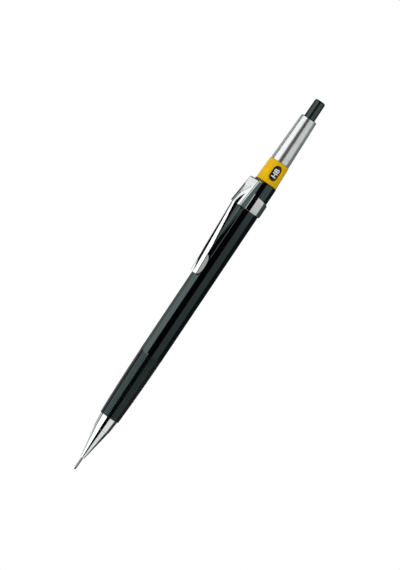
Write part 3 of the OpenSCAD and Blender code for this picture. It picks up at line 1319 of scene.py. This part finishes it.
    def spare_leads(self) -> bpy.types.Object:
        """Makes one spare lead and copies it round the tube.

        Returns:
            The spare leads, as one piece with a shell for each.
        """
        span = Span.of("spare_leads")
        lead = turned(
            "spare_leads_drawn",
            [
                (0, span.low),
                (self.lead_r, span.low, Edge.KEEN),
                (self.lead_r, span.high, Edge.KEEN),
                (0, span.high),
            ],
            steps=24,
        )
        lead.data.transform(Matrix.Translation((self.spare_ring, 0, 0)))
        copies = self.spares - 1
        sweep = math.tau * copies / self.spares
        with editing(lead):
            bpy.ops.mesh.select_all(action="SELECT")
            bpy.ops.mesh.spin(
                steps=copies, dupli=True, angle=sweep, center=(0, 0, 0), axis=(0, 0, 1)
            )
        return lead


@dataclass(frozen=True)
class Head:
    """The push button, the eraser in its holder and the cleaning needle."""

    # The button.
    skirt_len: float = 6.0
    skirt_r: float = 1.95
    crown_r: float = 1.87
    corner: float = 0.5
    roof: float = 1.2
    bore: float = 1.52

    # The eraser, its holder and the needle.
    eraser_r: float = 1.15
    eraser_corner: float = 0.3
    cup_r: float = 0.97
    cup_len: float = 2.5
    bead_in: float = 0.08
    bead_len: float = 0.2
    needle_r: float = 0.2
    needle_edge: float = 0.18

    def build(self) -> list[Piece]:
        """Makes the pieces of the pencil's head.

        Returns:
            The head's pieces.
        """
        return [
            Piece(self.button(), Body.CAP, Slot.BUTTON, "push_button"),
            Piece(self.eraser(), Body.ERASER, Slot.ERASER, "eraser"),
            Piece(self.ferrule(), Body.ERASER, Slot.FERRULE, "eraser_ferrule"),
            Piece(self.needle(), Body.ERASER, Slot.NEEDLE, "cleaning_needle"),
        ]

    def button(self) -> bpy.types.Object:
        """Moulds the button: a straight skirt, a slight taper and a rounded crown.

        Returns:
            The button.
        """
        span = Span.of("push_button")
        mouth_z = span.low + self.skirt_len
        return turned(
            "push_button_moulded",
            [
                (self.bore, span.low, Edge.EASED),
                (self.skirt_r, span.low, Edge.SOFT),
                (self.skirt_r, mouth_z),
                (self.crown_r, span.high, self.corner),
                (0, span.high),
                (0, span.high - self.roof),
                (self.bore, span.high - self.roof, Edge.SOFT),
            ],
            hollow=True,
        )

    def eraser(self) -> bpy.types.Object:
        """Makes the eraser with the plug that its holder grips.

        Returns:
            The eraser.
        """
        span, ferrule = Span.of("eraser"), Span.of("eraser_ferrule")
        return turned(
            "eraser_vinyl",
            [
                (0, span.low),
                (self.cup_r, span.low, Edge.SOFT),
                (self.cup_r, ferrule.high),
                (self.eraser_r, ferrule.high, Edge.EASED),
                (self.eraser_r, span.high, self.eraser_corner),
                (0, span.high),
            ],
            steps=64,
        )

    def ferrule(self) -> bpy.types.Object:
        """Draws the eraser's holder, with a groove rolled round it at the eraser's foot.

        Returns:
            The holder.
        """
        span = Span.of("eraser_ferrule")
        floor = span.high - self.cup_len
        return turned(
            "eraser_ferrule_drawn",
            [
                (self.needle_r, span.low),
                (self.eraser_r, span.low, Edge.BROAD),
                (self.eraser_r, floor, Edge.FINE),
                (self.eraser_r - self.bead_in, floor + self.bead_len, Edge.FINE),
                (self.eraser_r, floor + 2 * self.bead_len, Edge.FINE),
                (self.eraser_r, span.high, Edge.EASED),
                (self.cup_r, span.high),
                (self.cup_r, floor),
                (self.needle_r, floor),
            ],
            hollow=True,
            steps=64,
        )

    def needle(self) -> bpy.types.Object:
        """Draws the cleaning needle with a rounded end.

        Returns:
            The needle.
        """
        span = Span.of("cleaning_needle")
        return turned(
            "cleaning_needle_drawn",
            [
                (0, span.low),
                (self.needle_r, span.low, self.needle_edge),
                (self.needle_r, span.high),
                (0, span.high),
            ],
            steps=24,
        )


@dataclass(frozen=True)
class GradeRing:
    """The ring with its window, the sleeve of lead grades under it and the tube above it."""

    # The ring and its window.
    foot_r: float = 3.80
    head_r: float = 3.50
    bore: float = 3.00
    window_len: float = 5.33
    window_w: float = 3.38
    rim: float = 0.24
    window_turn: float = 61.0
    window_share: float = 0.525

    # The sleeve and the top tube.
    sleeve_r: float = 2.95
    sleeve_bore: float = Barrel.neck_r
    tube_foot_r: float = 3.35
    tube_head_r: float = 2.86
    tube_corner: float = 0.5
    mouth_r: float = 2.035
    mouth_edge: float = 0.2
    mouth_len: float = 1.0
    chamber_r: float = 2.20
    neck_gap: float = 0.2

    # The marks.
    grades: tuple[str, ...] = ("HB", "F", "H", "2H", "2B", "B")
    letter_h: float = 1.74
    letter_strips: int = 10
    bold: float = 0.022
    ink: float = 0.02

    def build(self) -> list[Piece]:
        """Makes the pieces of the ring.

        Returns:
            The ring, the sleeve, its marks and the tube.
        """
        return [
            Piece(self.ring(), Body.RING, Slot.RING, "window_ring", sharp=25),
            Piece(self.sleeve(), Body.BARREL, Slot.SLEEVE, "grade_sleeve"),
            Piece(self.marks(), Body.BARREL, None, None, finish=INK),
            Piece(self.tube(), Body.BARREL, Slot.TOP_TUBE, "top_tube"),
        ]

    def window_z(self) -> float:
        """Gives the height of the window's middle."""
        span = Span.of("grade_sleeve")
        return span.low + (span.high - span.low) * self.window_share

    def ring(self) -> bpy.types.Object:
        """Turns the tapered ring and cuts its window with a bevelled rim.

        Returns:
            The ring.
        """
        span = Span.of("window_ring")
        ring = turned(
            "window_ring_turned",
            [
                (self.bore, span.low, Edge.FINE),
                (self.foot_r, span.low, Edge.FULL),
                (self.head_r, span.high, Edge.FULL),
                (self.bore, span.high, Edge.FINE),
            ],
            hollow=True,
        )
        middle = (self.foot_r + self.head_r) / 2
        slope = (self.foot_r - self.head_r) / (span.high - span.low)
        squeeze = self.bore * math.asin(self.window_w / 2 / middle) / (self.window_w / 2)
        wall = middle - self.bore
        outside, inside = (PAST, 0), (-wall - PAST, self.rim + PAST)
        layers = [outside, (self.rim - wall, 0), (-wall, self.rim), inside]
        tool = slot_plate("window_tool", self.window_len, self.window_w, layers)
        tool.data.transform(lean(slope))
        tool.data.transform(Matrix.Diagonal((squeeze, 1, 1, 1)))
        bent_round(tool, self.bore)
        tool.data.transform(Matrix.Translation((0, 0, self.window_z())))
        carve(ring, spun(tool, self.window_turn))
        return ring

    def sleeve(self) -> bpy.types.Object:
        """Turns the sleeve that carries the grades.

        Returns:
            The sleeve.
        """
        span = Span.of("grade_sleeve")
        return turned(
            "grade_sleeve_turned",
            [
                (self.sleeve_bore, span.low),
                (self.sleeve_r, span.low, Edge.FINE),
                (self.sleeve_r, span.high, Edge.FINE),
                (self.sleeve_bore, span.high),
            ],
            hollow=True,
        )

    def marks(self) -> bpy.types.Object:
        """Prints the lead grades round the sleeve, reading up the pencil.

        Returns:
            All the marks, as one piece.
        """
        share = 360 / len(self.grades)
        marks = [
            spun(self.mark(grade), self.window_turn + share * place)
            for place, grade in enumerate(self.grades)
        ]
        return join("grade_marks", marks)

    def mark(self, grade: str) -> bpy.types.Object:
        """Makes one grade as a thin print, bent to the sleeve at its front.

        Args:
            grade: The letters to print.

        Returns:
            The print, ready to be turned to its place.
        """
        bpy.ops.object.select_all(action="DESELECT")
        bpy.ops.object.text_add()
        mark = bpy.context.object
        mark.data.body = grade
        mark.data.align_x, mark.data.align_y = "CENTER", "CENTER"
        mark.data.extrude = self.ink
        mark.data.offset = self.bold
        bpy.ops.object.convert(target="MESH")
        heights = [vertex.co.y for vertex in mark.data.vertices]
        low, high = min(heights), max(heights)
        size = self.letter_h / (high - low)
        upright = Matrix(((0, -1, 0, 0), (0, 0, -1, 0), (1, 0, 0, 0), (0, 0, 0, 1)))
        mark.data.transform(Matrix.Translation((0, -(low + high) / 2, 0)))
        mark.data.transform(Matrix.Diagonal((size, size, 1, 1)))
        mark.data.transform(upright)
        with editing(mark, "FACE"):
            bpy.ops.mesh.select_all(action="SELECT")
            bpy.ops.mesh.quads_convert_to_tris()
        for strip in range(1, self.letter_strips):
            with editing(mark):
                bpy.ops.mesh.select_all(action="SELECT")
                across = self.letter_h * (strip / self.letter_strips - 0.5)
                bpy.ops.mesh.bisect(plane_co=(across, 0, 0), plane_no=(1, 0, 0))
        settle(mark)
        bent_round(mark, self.sleeve_r)
        mark.data.transform(Matrix.Translation((0, 0, self.window_z())))
        return mark

    def tube(self) -> bpy.types.Object:
        """Draws the tapering top tube with its rolled mouth.

        Returns:
            The tube.
        """
        span = Span.of("top_tube")
        mouth_z = span.high - self.mouth_len
        neck_z = Span.of("barrel").high + self.neck_gap
        return turned(
            "top_tube_drawn",
            [
                (self.sleeve_bore, span.low, Edge.FINE),
                (self.tube_foot_r, span.low, Edge.BROAD),
                (self.tube_head_r, span.high, self.tube_corner),
                (self.mouth_r, span.high, self.mouth_edge),
                (self.mouth_r, mouth_z),
                (self.chamber_r, mouth_z),
                (self.chamber_r, neck_z),
                (self.sleeve_bore, neck_z),
            ],
            hollow=True,
        )


def lean(slope: float) -> Matrix:
    """Gives a matrix that moves points along Y by the slope times their height.

    Args:
        slope: Distance along Y for each unit of height.

    Returns:
        The matrix.
    """
    matrix = Matrix.Identity(4)
    matrix[1][2] = slope
    return matrix


@dataclass(frozen=True)
class Clip:
    """The pocket clip, pressed from one sheet: band, channel-shaped head, ridged arm, flanges."""

    # The sheet: its thickness, the radius of its folds and its tumbled edges.
    sheet: float = 0.45
    fold: float = 0.47
    rim: float = 0.08
    sharp: float = 50.0

    # The face: its half widths, and its distance from the axis at three heights.
    arm_half: float = 1.45
    head_half: float = 2.42
    head_len: float = 10.0
    margin: float = 0.3
    top_y: float = 5.65
    foot_y: float = 7.05
    end_y: float = 5.22
    top_round: float = 0.42

    # The ridge: a roof that rises towards the head.
    crown: float = 0.86
    crown_swell: float = 1.35
    crown_fall: float = 0.03
    roof: float = 0.09
    roof_soft: float = 0.06
    flank: float = 0.88
    ridge_foot: float = 1.45
    ridge_taper: float = 0.05
    crease_soft: float = 0.1
    foot_soft: float = 0.03

    # The ridge's upper end: a gable, a hip and the bead of the crease along the hip's side.
    gable: float = 0.51
    gable_slope: float = 0.41
    gable_lift: float = 0.17
    gable_z: float = 103.5
    hip_slope: float = 0.14
    hip_foot: Point = (0.0, 102.3)
    hip_tip: Point = (1.4, 105.5)
    bead: float = 0.06
    bead_w: float = 0.2
    fall: float = 0.1
    fall_x: float = 1.5
    fall_fade: float = 0.4

    # The band and its throats.
    band_r: float = 4.42
    throat: float = 0.22
    edge_z: float = 103.6
    edge_slope: float = 0.133
    edge_fillet: float = 0.5

    # The arm's end and its flanges.
    flange_len: float = 7.2
    flange_depth: float = 1.45
    flange_swell: float = 2.6
    flange_round: float = 0.55
    flange_fold: float = 64.0
    flange_fade: float = 1.2
    end_corner: float = 0.5

    def build(self) -> list[Piece]:
        """Makes the clip."""
        return [Piece(self.pressing(), Body.CLIP, Slot.CLIP, "clip", sharp=40)]

    def pressing(self) -> bpy.types.Object:
        """Presses a flat grid into form, gives it the sheet's thickness and rounds its edges.

        Returns:
            The clip.
        """
        press = ClipPress(self, Span.of("clip"))
        columns, rows = len(press.stations) - 1, len(press.rows) - 1
        clip = start_from(
            bpy.ops.mesh.primitive_grid_add,
            "clip_pressed",
            x_subdivisions=columns,
            y_subdivisions=rows,
            size=1,
        )
        places: dict[int, tuple[int, int]] = {}
        for vertex in clip.data.vertices:
            column = round((vertex.co.x + 0.5) * columns)
            row = round((vertex.co.y + 0.5) * rows)
            places[vertex.index] = (column, row)
            vertex.co = press.point(column, row)
        with editing(clip, "FACE") as mesh:
            pick(mesh.faces, lambda face: press.is_waste([places[v.index] for v in face.verts]))
            bpy.ops.mesh.delete(type="FACE")
        across = (True, False, False)
        apply(clip, "MIRROR", use_axis=across, use_mirror_merge=True, merge_threshold=MERGE)
        settle(clip)
        self.face_out(clip)
        apply(clip, "SOLIDIFY", thickness=self.sheet, offset=-1, use_even_offset=True, use_rim=True)
        self.round_edges(clip, press)
        return clip

    def face_out(self, clip: bpy.types.Object) -> None:
        """Turns the sheet's faces over if its front looks at the pencil.

        Args:
            clip: The pressed sheet.
        """
        front = min(clip.data.polygons, key=lambda face: face.center.y)
        if front.normal.y > 0:
            with editing(clip, "FACE"):
                bpy.ops.mesh.select_all(action="SELECT")
                bpy.ops.mesh.flip_normals()

    def round_edges(self, clip: bpy.types.Object, press: "ClipPress") -> None:
        """Cuts the head's top edge broadly, and rounds all others as a tumbled sheet has them.

        Args:
            clip: The sheet with its thickness.
            press: The press that formed it.
        """
        with editing(clip, "EDGE") as mesh:
            pick(mesh.edges, press.is_top_edge)
            bpy.ops.mesh.bevel(offset=self.top_round, segments=1, affect="EDGES")
        with editing(clip, "EDGE"):
            bpy.ops.mesh.edges_select_sharp(sharpness=math.radians(self.sharp))
            bpy.ops.mesh.bevel(offset=self.rim, segments=2, profile=0.5, affect="EDGES")


def lower(first: float, second: float, soft: float) -> float:
    """Gives the lower of two values, with a soft change from one to the other."""
    return (first + second - math.hypot(first - second, soft)) / 2


def corner_cut(radius: float, into: float) -> float:
    """Gives how far a round corner falls back from its side, at a distance before its end."""
    return radius - math.sqrt(radius**2 - (radius - into) ** 2)


class Part(IntEnum):
    """The parts of the sheet, from its middle outwards."""

    CENTRE = 0
    MARGIN = 1
    LIP = 2
    BEND = 3
    WALL = 4
    THROAT = 5
    BAND = 6


class Zone(Enum):
    """The zones of the sheet, from its foot upwards."""

    ARM = "arm"
    BAND = "band"
    HEAD = "head"


class ClipPress:
    """The pressing rule of the clip: which column and row of the sheet ends up where."""

    COLUMNS = (24, 9, 4, 6, 9, 5, 36)  # columns in each part of the sheet
    FLANGE_ROWS, ARM_ROWS, ROOT_ROWS, BAND_ROWS, HEAD_ROWS = 30, 36, 5, 60, 30
    ROOT = 0.3  # length of the fine rows under the band
    BRIM = 0.5  # height of the row at the head's top
    CENTRE_SHARE = 0.75  # largest share of the half width that the centre takes
    SKIN = 0.15  # depth up to which a face is the sheet's outer one
    LEVEL = 0.02  # height within which an edge is at the head's top

    def __init__(self, clip: Clip, span: Span) -> None:
        """Works out the stations across the sheet and the rows along it.

        Args:
            clip: The clip's sizes.
            span: Where the CAD node lies.
        """
        self.clip = clip
        self.foot_z = span.low
        self.top_z = span.high
        self.band_z = span.high - clip.head_len
        self.inner = clip.arm_half - clip.margin
        self.shoulder = clip.head_half - clip.fold
        self.corner_x = self.shoulder - clip.margin
        centre_x = clip.head_half + clip.throat
        self.throat_y = math.sqrt((clip.band_r + clip.throat) ** 2 - centre_x**2)
        self.throat_end = math.atan2(centre_x, self.throat_y)
        self.junction_z = clip.edge_z + clip.edge_slope * self.throat_y + clip.edge_fillet
        self.stations = [
            (part, step / count)
            for part, count in zip(Part, self.COLUMNS, strict=True)
            for step in range(0 if part == Part.CENTRE else 1, count + 1)
        ]
        self.rows = self.row_heights()

    def row_heights(self) -> list[tuple[Zone, float]]:
        """Works out the rows of the sheet.

        Returns:
            Each row's zone and its height, or its share of the zone where the zone's edge slants.
        """
        foot, flange = self.foot_z, self.clip.flange_len
        arm = self.band_z - self.ROOT - foot - flange
        upper = self.top_z - self.BRIM - self.junction_z

        def spread(count: int, first: int = 0) -> list[float]:
            """Gives the shares of the rows in a stretch."""
            return [row / count for row in range(first, count + first)]

        ease = [(1 - math.cos(math.pi * k)) / 2 for k in spread(self.FLANGE_ROWS)]
        root = [math.cos(math.pi / 2 * k) for k in spread(self.ROOT_ROWS)]
        heights = [foot + flange * k for k in ease]
        heights += [foot + flange + arm * k for k in spread(self.ARM_ROWS)]
        heights += [self.band_z - self.ROOT * k for k in root]
        rows = [(Zone.ARM, height) for height in heights]
        rows += [(Zone.BAND, k) for k in (*spread(self.BAND_ROWS), 1.0)]
        rows += [(Zone.HEAD, self.junction_z + upper * k) for k in spread(self.HEAD_ROWS, 1)]
        return [*rows, (Zone.HEAD, self.top_z)]

    def is_waste(self, corners: Sequence[tuple[int, int]]) -> bool:
        """Tells whether a face of the grid is cut away.

        Args:
            corners: Columns and rows of the face's corners.

        Returns:
            Whether it is waste.
        """
        part = max(self.stations[column][0] for column, _ in corners)
        zones = {self.rows[row][0] for _, row in corners}
        if Zone.ARM in zones:
            return part > Part.MARGIN
        return Zone.HEAD in zones and part > Part.WALL

    def is_outer(self, face: bmesh.types.BMFace) -> bool:
        """Tells whether a face of the head lies on the sheet's outer side.

        Args:
            face: A face beside the head's top edge.

        Returns:
            Whether it is on the outer side.
        """
        centre = face.calc_center_median()
        across = abs(centre.x) - self.shoulder
        out = -centre.y - self.face_y(centre.z) + self.clip.fold
        if across > 0 and out > 0:
            return math.hypot(across, out) > self.clip.fold - self.SKIN
        return max(across, out) > self.clip.fold - self.SKIN

    def is_top_edge(self, edge: bmesh.types.BMEdge) -> bool:
        """Tells whether an edge is the outer one of the head's top.

        Args:
            edge: An edge of the sheet with its thickness.

        Returns:
            Whether it is.
        """
        upright = [face for face in edge.link_faces if abs(face.normal.z) < UPRIGHT]
        level = all(abs(vertex.co.z - self.top_z) < self.LEVEL for vertex in edge.verts)
        return level and bool(upright) and self.is_outer(upright[0])

    def face_y(self, z: float) -> float:
        """Gives the distance from the axis to the sheet's face beside the ridge.

        Args:
            z: Height of the spot.

        Returns:
            The distance.
        """
        clip = self.clip
        if z > self.band_z:
            share, end = (self.top_z - z) / (self.top_z - self.band_z), clip.top_y
        else:
            share, end = (z - self.foot_z) / (self.band_z - self.foot_z), clip.end_y
        return end + (clip.foot_y - end) * share

    def ridge(self, x: float, z: float) -> float:
        """Gives the height of the ridge over the face: a roof, with a gable and a hip in the head.

        Args:
            x: Distance from the middle.
            z: Height of the spot.

        Returns:
            The ridge's height.
        """
        clip = self.clip
        share = min(1.0, (z - self.foot_z) / (self.band_z - self.foot_z))
        into_head = max(0.0, z - self.band_z)
        foot = clip.ridge_foot - clip.ridge_taper * min(1.0, into_head)
        crest = clip.crown * share**clip.crown_swell - clip.crown_fall * into_head
        roof = crest - clip.roof * math.hypot(x, clip.roof_soft)
        height = lower(roof, clip.flank * (foot - x), clip.crease_soft)
        if into_head > 0:
            hip = clip.hip_slope * (clip.hip_tip[1] - z)
            lift = clip.gable_lift * max(0.0, clip.gable_z - z)
            gable = clip.gable - clip.gable_slope * x + lift
            height = lower(lower(height, hip, clip.crease_soft), gable, clip.crease_soft)
        height = -lower(-height, 0.0, clip.foot_soft)
        if into_head > 0:
            height += clip.bead * math.exp(-((self.hip_line(x, z) / clip.bead_w) ** 2))
        return height

    def falloff(self, x: float, z: float) -> float:
        """Gives how far the head's face falls back towards its folds, beside the ridge.

        Args:
            x: Distance from the middle.
            z: Height of the spot.

        Returns:
            The distance back.
        """
        clip = self.clip
        if z < self.band_z:
            return 0.0
        fade = min(1.0, max(0.0, (clip.hip_tip[1] - z) / clip.fall_fade))
        return clip.fall * max(0.0, x - clip.fall_x) * fade

    def hip_line(self, x: float, z: float) -> float:
        """Gives the distance of a spot from the crease along the hip's side.

        Args:
            x: Distance from the middle.
            z: Height of the spot.

        Returns:
            The distance.
        """
        start, spot = Vector(self.clip.hip_foot), Vector((x, z))
        along = Vector(self.clip.hip_tip) - start
        share = min(1.0, max(0.0, (spot - start).dot(along) / along.length_squared))
        return (spot - start - along * share).length

    def half_width(self, z: float) -> float:
        """Gives the developed half width of the arm, with its rounded end, flanges and root.

        Args:
            z: Height of the row.

        Returns:
            The half width.
        """
        clip = self.clip
        width = clip.arm_half
        low = z - self.foot_z
        if low < clip.end_corner:
            width -= corner_cut(clip.end_corner, low)
        if low < clip.flange_len:
            side = abs(2 * low / clip.flange_len - 1)
            width += clip.flange_depth * (1 - side**clip.flange_swell) ** clip.flange_round
        root = self.band_z - z
        fillet = self.corner_x - clip.arm_half
        if 0 <= root < fillet:
            width += corner_cut(fillet, root)
        return width

    def folded(self, along: float, z: float) -> Point:
        """Gives the place across and behind the face of a spot on the arm's margin.

        Args:
            along: Developed distance from the middle of the arm.
            z: Height of the row.

        Returns:
            The distances across and back.
        """
        clip = self.clip
        past = z - self.foot_z - clip.flange_len
        fade = 1.0 if past <= 0 else max(0.0, 1 - past / clip.flange_fade)
        limit = math.radians(clip.flange_fold) * fade * fade * (3 - 2 * fade)
        run = along - self.inner
        if run <= 0 or limit < 1e-6:
            return along, 0.0
        turn = min(limit, run / clip.fold)
        straight = max(0.0, run - limit * clip.fold)
        across = self.inner + clip.fold * math.sin(turn) + straight * math.cos(limit)
        back = clip.fold * (1 - math.cos(turn)) + straight * math.sin(limit)
        return across, back

    def outline(self, part: Part, share: float) -> Point:
        """Gives the place of a station of the throat or the band.

        Args:
            part: The throat or the band.
            share: Where the station is in it, from 0 to 1.

        Returns:
            The place as (X, Y).
        """
        clip = self.clip
        if part == Part.THROAT:
            turn = math.pi - share * (math.pi / 2 - self.throat_end)
            x = clip.head_half + clip.throat * (1 + math.cos(turn))
            return x, -self.throat_y + clip.throat * math.sin(turn)
        turn = self.throat_end + share * (math.pi - self.throat_end)
        return clip.band_r * math.sin(turn), -clip.band_r * math.cos(turn)

    def edge_height(self, x: float, y: float) -> float:
        """Gives the height of the band's upper edge, with a fillet where it meets the wall.

        Args:
            x: Distance from the middle.
            y: Place along Y.

        Returns:
            The height.
        """
        clip = self.clip
        height = clip.edge_z - clip.edge_slope * y
        away = math.hypot(x - clip.head_half, y + self.throat_y)
        if away < clip.edge_fillet:
            height += corner_cut(clip.edge_fillet, away)
        return height

    def point(self, column: int, row: int) -> Vector:
        """Gives the place of one vertex of the pressed sheet.

        Args:
            column: Its column in the grid.
            row: Its row in the grid.

        Returns:
            The place.
        """
        part, share = self.stations[column]
        zone, value = self.rows[row]
        if part >= Part.THROAT:
            x, y = self.outline(part, share)
            rise = self.edge_height(x, y) - self.band_z
            return Vector((x, y, self.band_z + rise * (value if zone == Zone.BAND else 1.0)))
        if zone == Zone.BAND:
            value = self.band_z + (self.junction_z - self.band_z) * value
        return self.front_point(part, share, value)

    def front_point(self, part: Part, share: float, z: float) -> Vector:
        """Gives the place of a vertex on the arm or the head.

        Args:
            part: The part of the sheet.
            share: Where the vertex is in it, from 0 to 1.
            z: Its height.

        Returns:
            The place.
        """
        clip, face = self.clip, self.face_y(z)
        edge = self.corner_x if z >= self.band_z else self.half_width(z)
        inner = min(self.inner, self.CENTRE_SHARE * edge)
        if part == Part.CENTRE:
            x, back = inner * share, -self.ridge(inner * share, z)
        elif part == Part.MARGIN:
            x, back = self.folded(inner + (edge - inner) * share, z)
            back += self.falloff(x, z) - self.ridge(x, z)
        elif part == Part.LIP:
            x = self.corner_x + (self.shoulder - self.corner_x) * share
            back = self.falloff(x, z)
        elif part == Part.BEND:
            turn = math.pi / 2 * share
            x = self.shoulder + clip.fold * math.sin(turn)
            sunk = self.falloff(self.shoulder, z) * math.cos(turn)
            back = clip.fold * (1 - math.cos(turn)) + sunk
        else:
            x = clip.head_half
            back = clip.fold + (face - clip.fold - self.throat_y) * share
        return Vector((x, back - face, z))


# -------------------------------------------------------------------------------------------------
# Studio
# -------------------------------------------------------------------------------------------------


def bearing(right_of_view: float, distance: float, height: float) -> Vector:
    """Gives a place round the pencil, by its angle to the right of the camera in degrees."""
    turn = math.radians(Camera.azimuth + right_of_view - 90)
    return Vector((distance * math.cos(turn), distance * math.sin(turn), height))


@dataclass(frozen=True)
class Camera:
    """The camera: level with the pencil's middle and rolled, so that the pencil leans."""

    azimuth: float = 45.0
    distance: float = 0.700
    height: float = 0.07055
    aside: float = 0.00057
    roll: float = 33.81
    lens: float = 138.16
    nearest: float = 0.01

    def place(self) -> None:
        """Adds the camera and makes it the scene's."""
        spot = bearing(0, self.distance, self.height)
        bpy.ops.object.camera_add(location=spot + bearing(90, self.aside, 0))
        camera = bpy.context.object
        camera.name = "camera"
        level = Vector((-spot.x, -spot.y, 0)).to_track_quat("-Z", "Y").to_matrix()
        roll = Matrix.Rotation(math.radians(self.roll), 3, "Z")
        camera.rotation_euler = (level @ roll).to_euler()
        camera.data.lens = self.lens
        camera.data.clip_start = self.nearest
        bpy.context.scene.camera = camera


@dataclass(frozen=True)
class Card:
    """A curved card round the pencil, seen only in reflections: a softbox if it glows, or a flag.

    It hangs between two bearings in degrees and two heights in metres.
    """

    name: str
    start: float
    end: float
    radiance: float = 0.0
    low: float = -0.70
    high: float = 0.606
    tint: Colour = (1, 1, 1)
    distance: float = 0.75
    steps: int = 16

    def hang(self) -> None:
        """Adds the card and turns it to its place."""
        outline = [(self.distance, self.low), (self.distance, self.high)]
        card = turned(self.name, outline, steps=self.steps, sweep=self.end - self.start)
        spun(card, Camera.azimuth + self.start - 90)
        glowing(card, self.radiance, self.tint)


def glowing(card: bpy.types.Object, radiance: float, tint: Colour = (1, 1, 1)) -> None:
    """Gives a card an even glow, and hides it from the camera and, if dark, from diffuse light.

    Args:
        card: The card to dress.
        radiance: How brightly it glows.
        tint: Colour of the glow.
    """
    recipe = Recipe.material(card.name)
    glow = recipe.node("ShaderNodeEmission", inputs={"Color": (*tint, 1), "Strength": radiance})
    recipe.node("ShaderNodeOutputMaterial", inputs={"Surface": glow})
    card.data.materials.append(recipe.owner)
    card.visible_camera = False
    card.visible_diffuse = radiance > DARK


@dataclass(frozen=True)
class Studio:
    """The floor, the pale room, the softboxes, the dark cards and the camera."""

    floor_z: float = -0.45
    floor_size: float = 8.0
    floor_shade: Point = (0.8, 0.84)
    floor_cloud: float = 400
    fill: float = 0.55
    ceiling_z: float = Card.high

    # Heights at which cards change, in metres.
    skirting_z: float = -0.104
    sill_z: float = 0.131
    dim_z: float = 0.146
    front_z: float = 0.171
    upper_z: float = 0.276
    wall_z: float = 0.416
    corner_z: float = 0.426
    cards: tuple[Card, ...] = (
        Card("softbox_left", -92, -25, 1.6, high=dim_z),
        Card("softbox_left_high", -92, -25, 1.15, low=dim_z, high=upper_z),
        Card("softbox_left_top", -88.5, -25, 1.15, low=upper_z),
        Card("softbox_left_rim", -98, -88.5, 1.0, low=upper_z),
        Card("softbox_left_corner", -104, -98, 1.0, low=corner_z),
        Card("flag_left", -107, -92, high=upper_z),
        Card("flag_left_top", -107, -98, low=upper_z, high=corner_z),
        Card("flag_left_corner", -107, -104, low=corner_z),
        Card("wall_left_low", -180, -107, 0.75, high=skirting_z),
        Card("wall_left", -180, -107, 0.45, low=skirting_z, high=wall_z),
        Card("wall_left_top", -180, -107, 0.05, low=wall_z),
        Card("flag_front", -25, 17, high=front_z),
        Card("flag_front_high", -25, 17, 0.12, low=front_z, high=upper_z),
        Card("flag_front_top", -25, 17, low=upper_z),
        Card("softbox_right_low", 17, 86, 0.85, high=skirting_z),
        Card("softbox_right", 17, 86, 0.42, low=skirting_z, high=sill_z),
        Card("softbox_right_top", 17, 86, 0.78, low=sill_z),
        Card("wall_right", 86, 100, 0.12, high=front_z, tint=(0.7, 1.0, 0.95)),
        Card("wall_right_back", 100, 180, 0.05, high=front_z, tint=(0.7, 1.0, 0.95)),
        Card("wall_right_high", 86, 180, 0.26, low=front_z, tint=(0.9, 1.0, 0.97)),
    )

    def build(self) -> None:
        """Sets up the whole studio."""
        Camera().place()
        for card in self.cards:
            card.hang()
        self.hang_ceiling()
        self.lay_floor()
        self.light_room()
        bpy.context.scene.view_settings.view_transform = "Standard"

    def hang_ceiling(self) -> None:
        """Closes the ring of cards with a dark ceiling."""
        ceiling = start_from(
            bpy.ops.mesh.primitive_circle_add,
            "ceiling",
            vertices=64,
            radius=Card.distance,
            fill_type="NGON",
            location=(0, 0, self.ceiling_z),
        )
        glowing(ceiling, 0.0)

    def lay_floor(self) -> None:
        """Adds a floor that is plain white to the camera and in reflections, and a pale matt floor
        to other light.
        """
        floor = start_from(
            bpy.ops.mesh.primitive_plane_add,
            "floor",
            size=self.floor_size,
            location=(0, 0, self.floor_z),
        )
        recipe = Recipe.material("floor")
        seen = self.seen_directly(recipe)
        cloud = recipe.noise(recipe.place(), self.floor_cloud, 2.0)
        darker, lighter = ((shade, shade, shade) for shade in self.floor_shade)
        colour = recipe.blend(cloud, darker, lighter)
        matt = recipe.node("ShaderNodeBsdfDiffuse", inputs={"Color": colour})
        white = recipe.node("ShaderNodeEmission", inputs={"Strength": 1.0})
        surface = recipe.node("ShaderNodeMixShader", inputs={0: seen, 1: matt, 2: white})
        recipe.node("ShaderNodeOutputMaterial", inputs={"Surface": surface})
        floor.data.materials.append(recipe.owner)

    def seen_directly(self, recipe: Recipe) -> Wire:
        """Tells which rays come from the camera, a reflection or a refraction.

        Args:
            recipe: The shader that asks.

        Returns:
            1 for such a ray, and otherwise 0.
        """
        kinds = ("Camera", "Glossy", "Transmission")
        rays = [recipe.node("ShaderNodeLightPath", output=f"Is {kind} Ray") for kind in kinds]
        return recipe.node("ShaderNodeClamp", inputs={0: rays[0] + rays[1] + rays[2]})

    def light_room(self) -> None:
        """Makes the world white to the eye and dimmer as a light."""
        world = bpy.data.worlds.new("room")
        bpy.context.scene.world = world
        recipe = Recipe(world)
        strength = self.fill + self.seen_directly(recipe) * (1 - self.fill)
        inputs = {"Color": (1, 1, 1, 1), "Strength": strength}
        room = recipe.node("ShaderNodeBackground", inputs=inputs)
        recipe.node("ShaderNodeOutputWorld", inputs={"Surface": room})


def main() -> None:
    """Loads the frame, makes and fits every piece, and sets up the studio."""
    logging.basicConfig(level=logging.INFO, format="%(name)s: %(message)s")
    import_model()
    for assembly in (Tip(), Barrel(), Mechanism(), Head(), GradeRing(), Clip()):
        for piece in assembly.build():
            fitted = piece.fit()
            if piece.node == "chuck_spring":
                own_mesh(fitted)
    Studio().build()


if __name__ == "__main__":
    main()
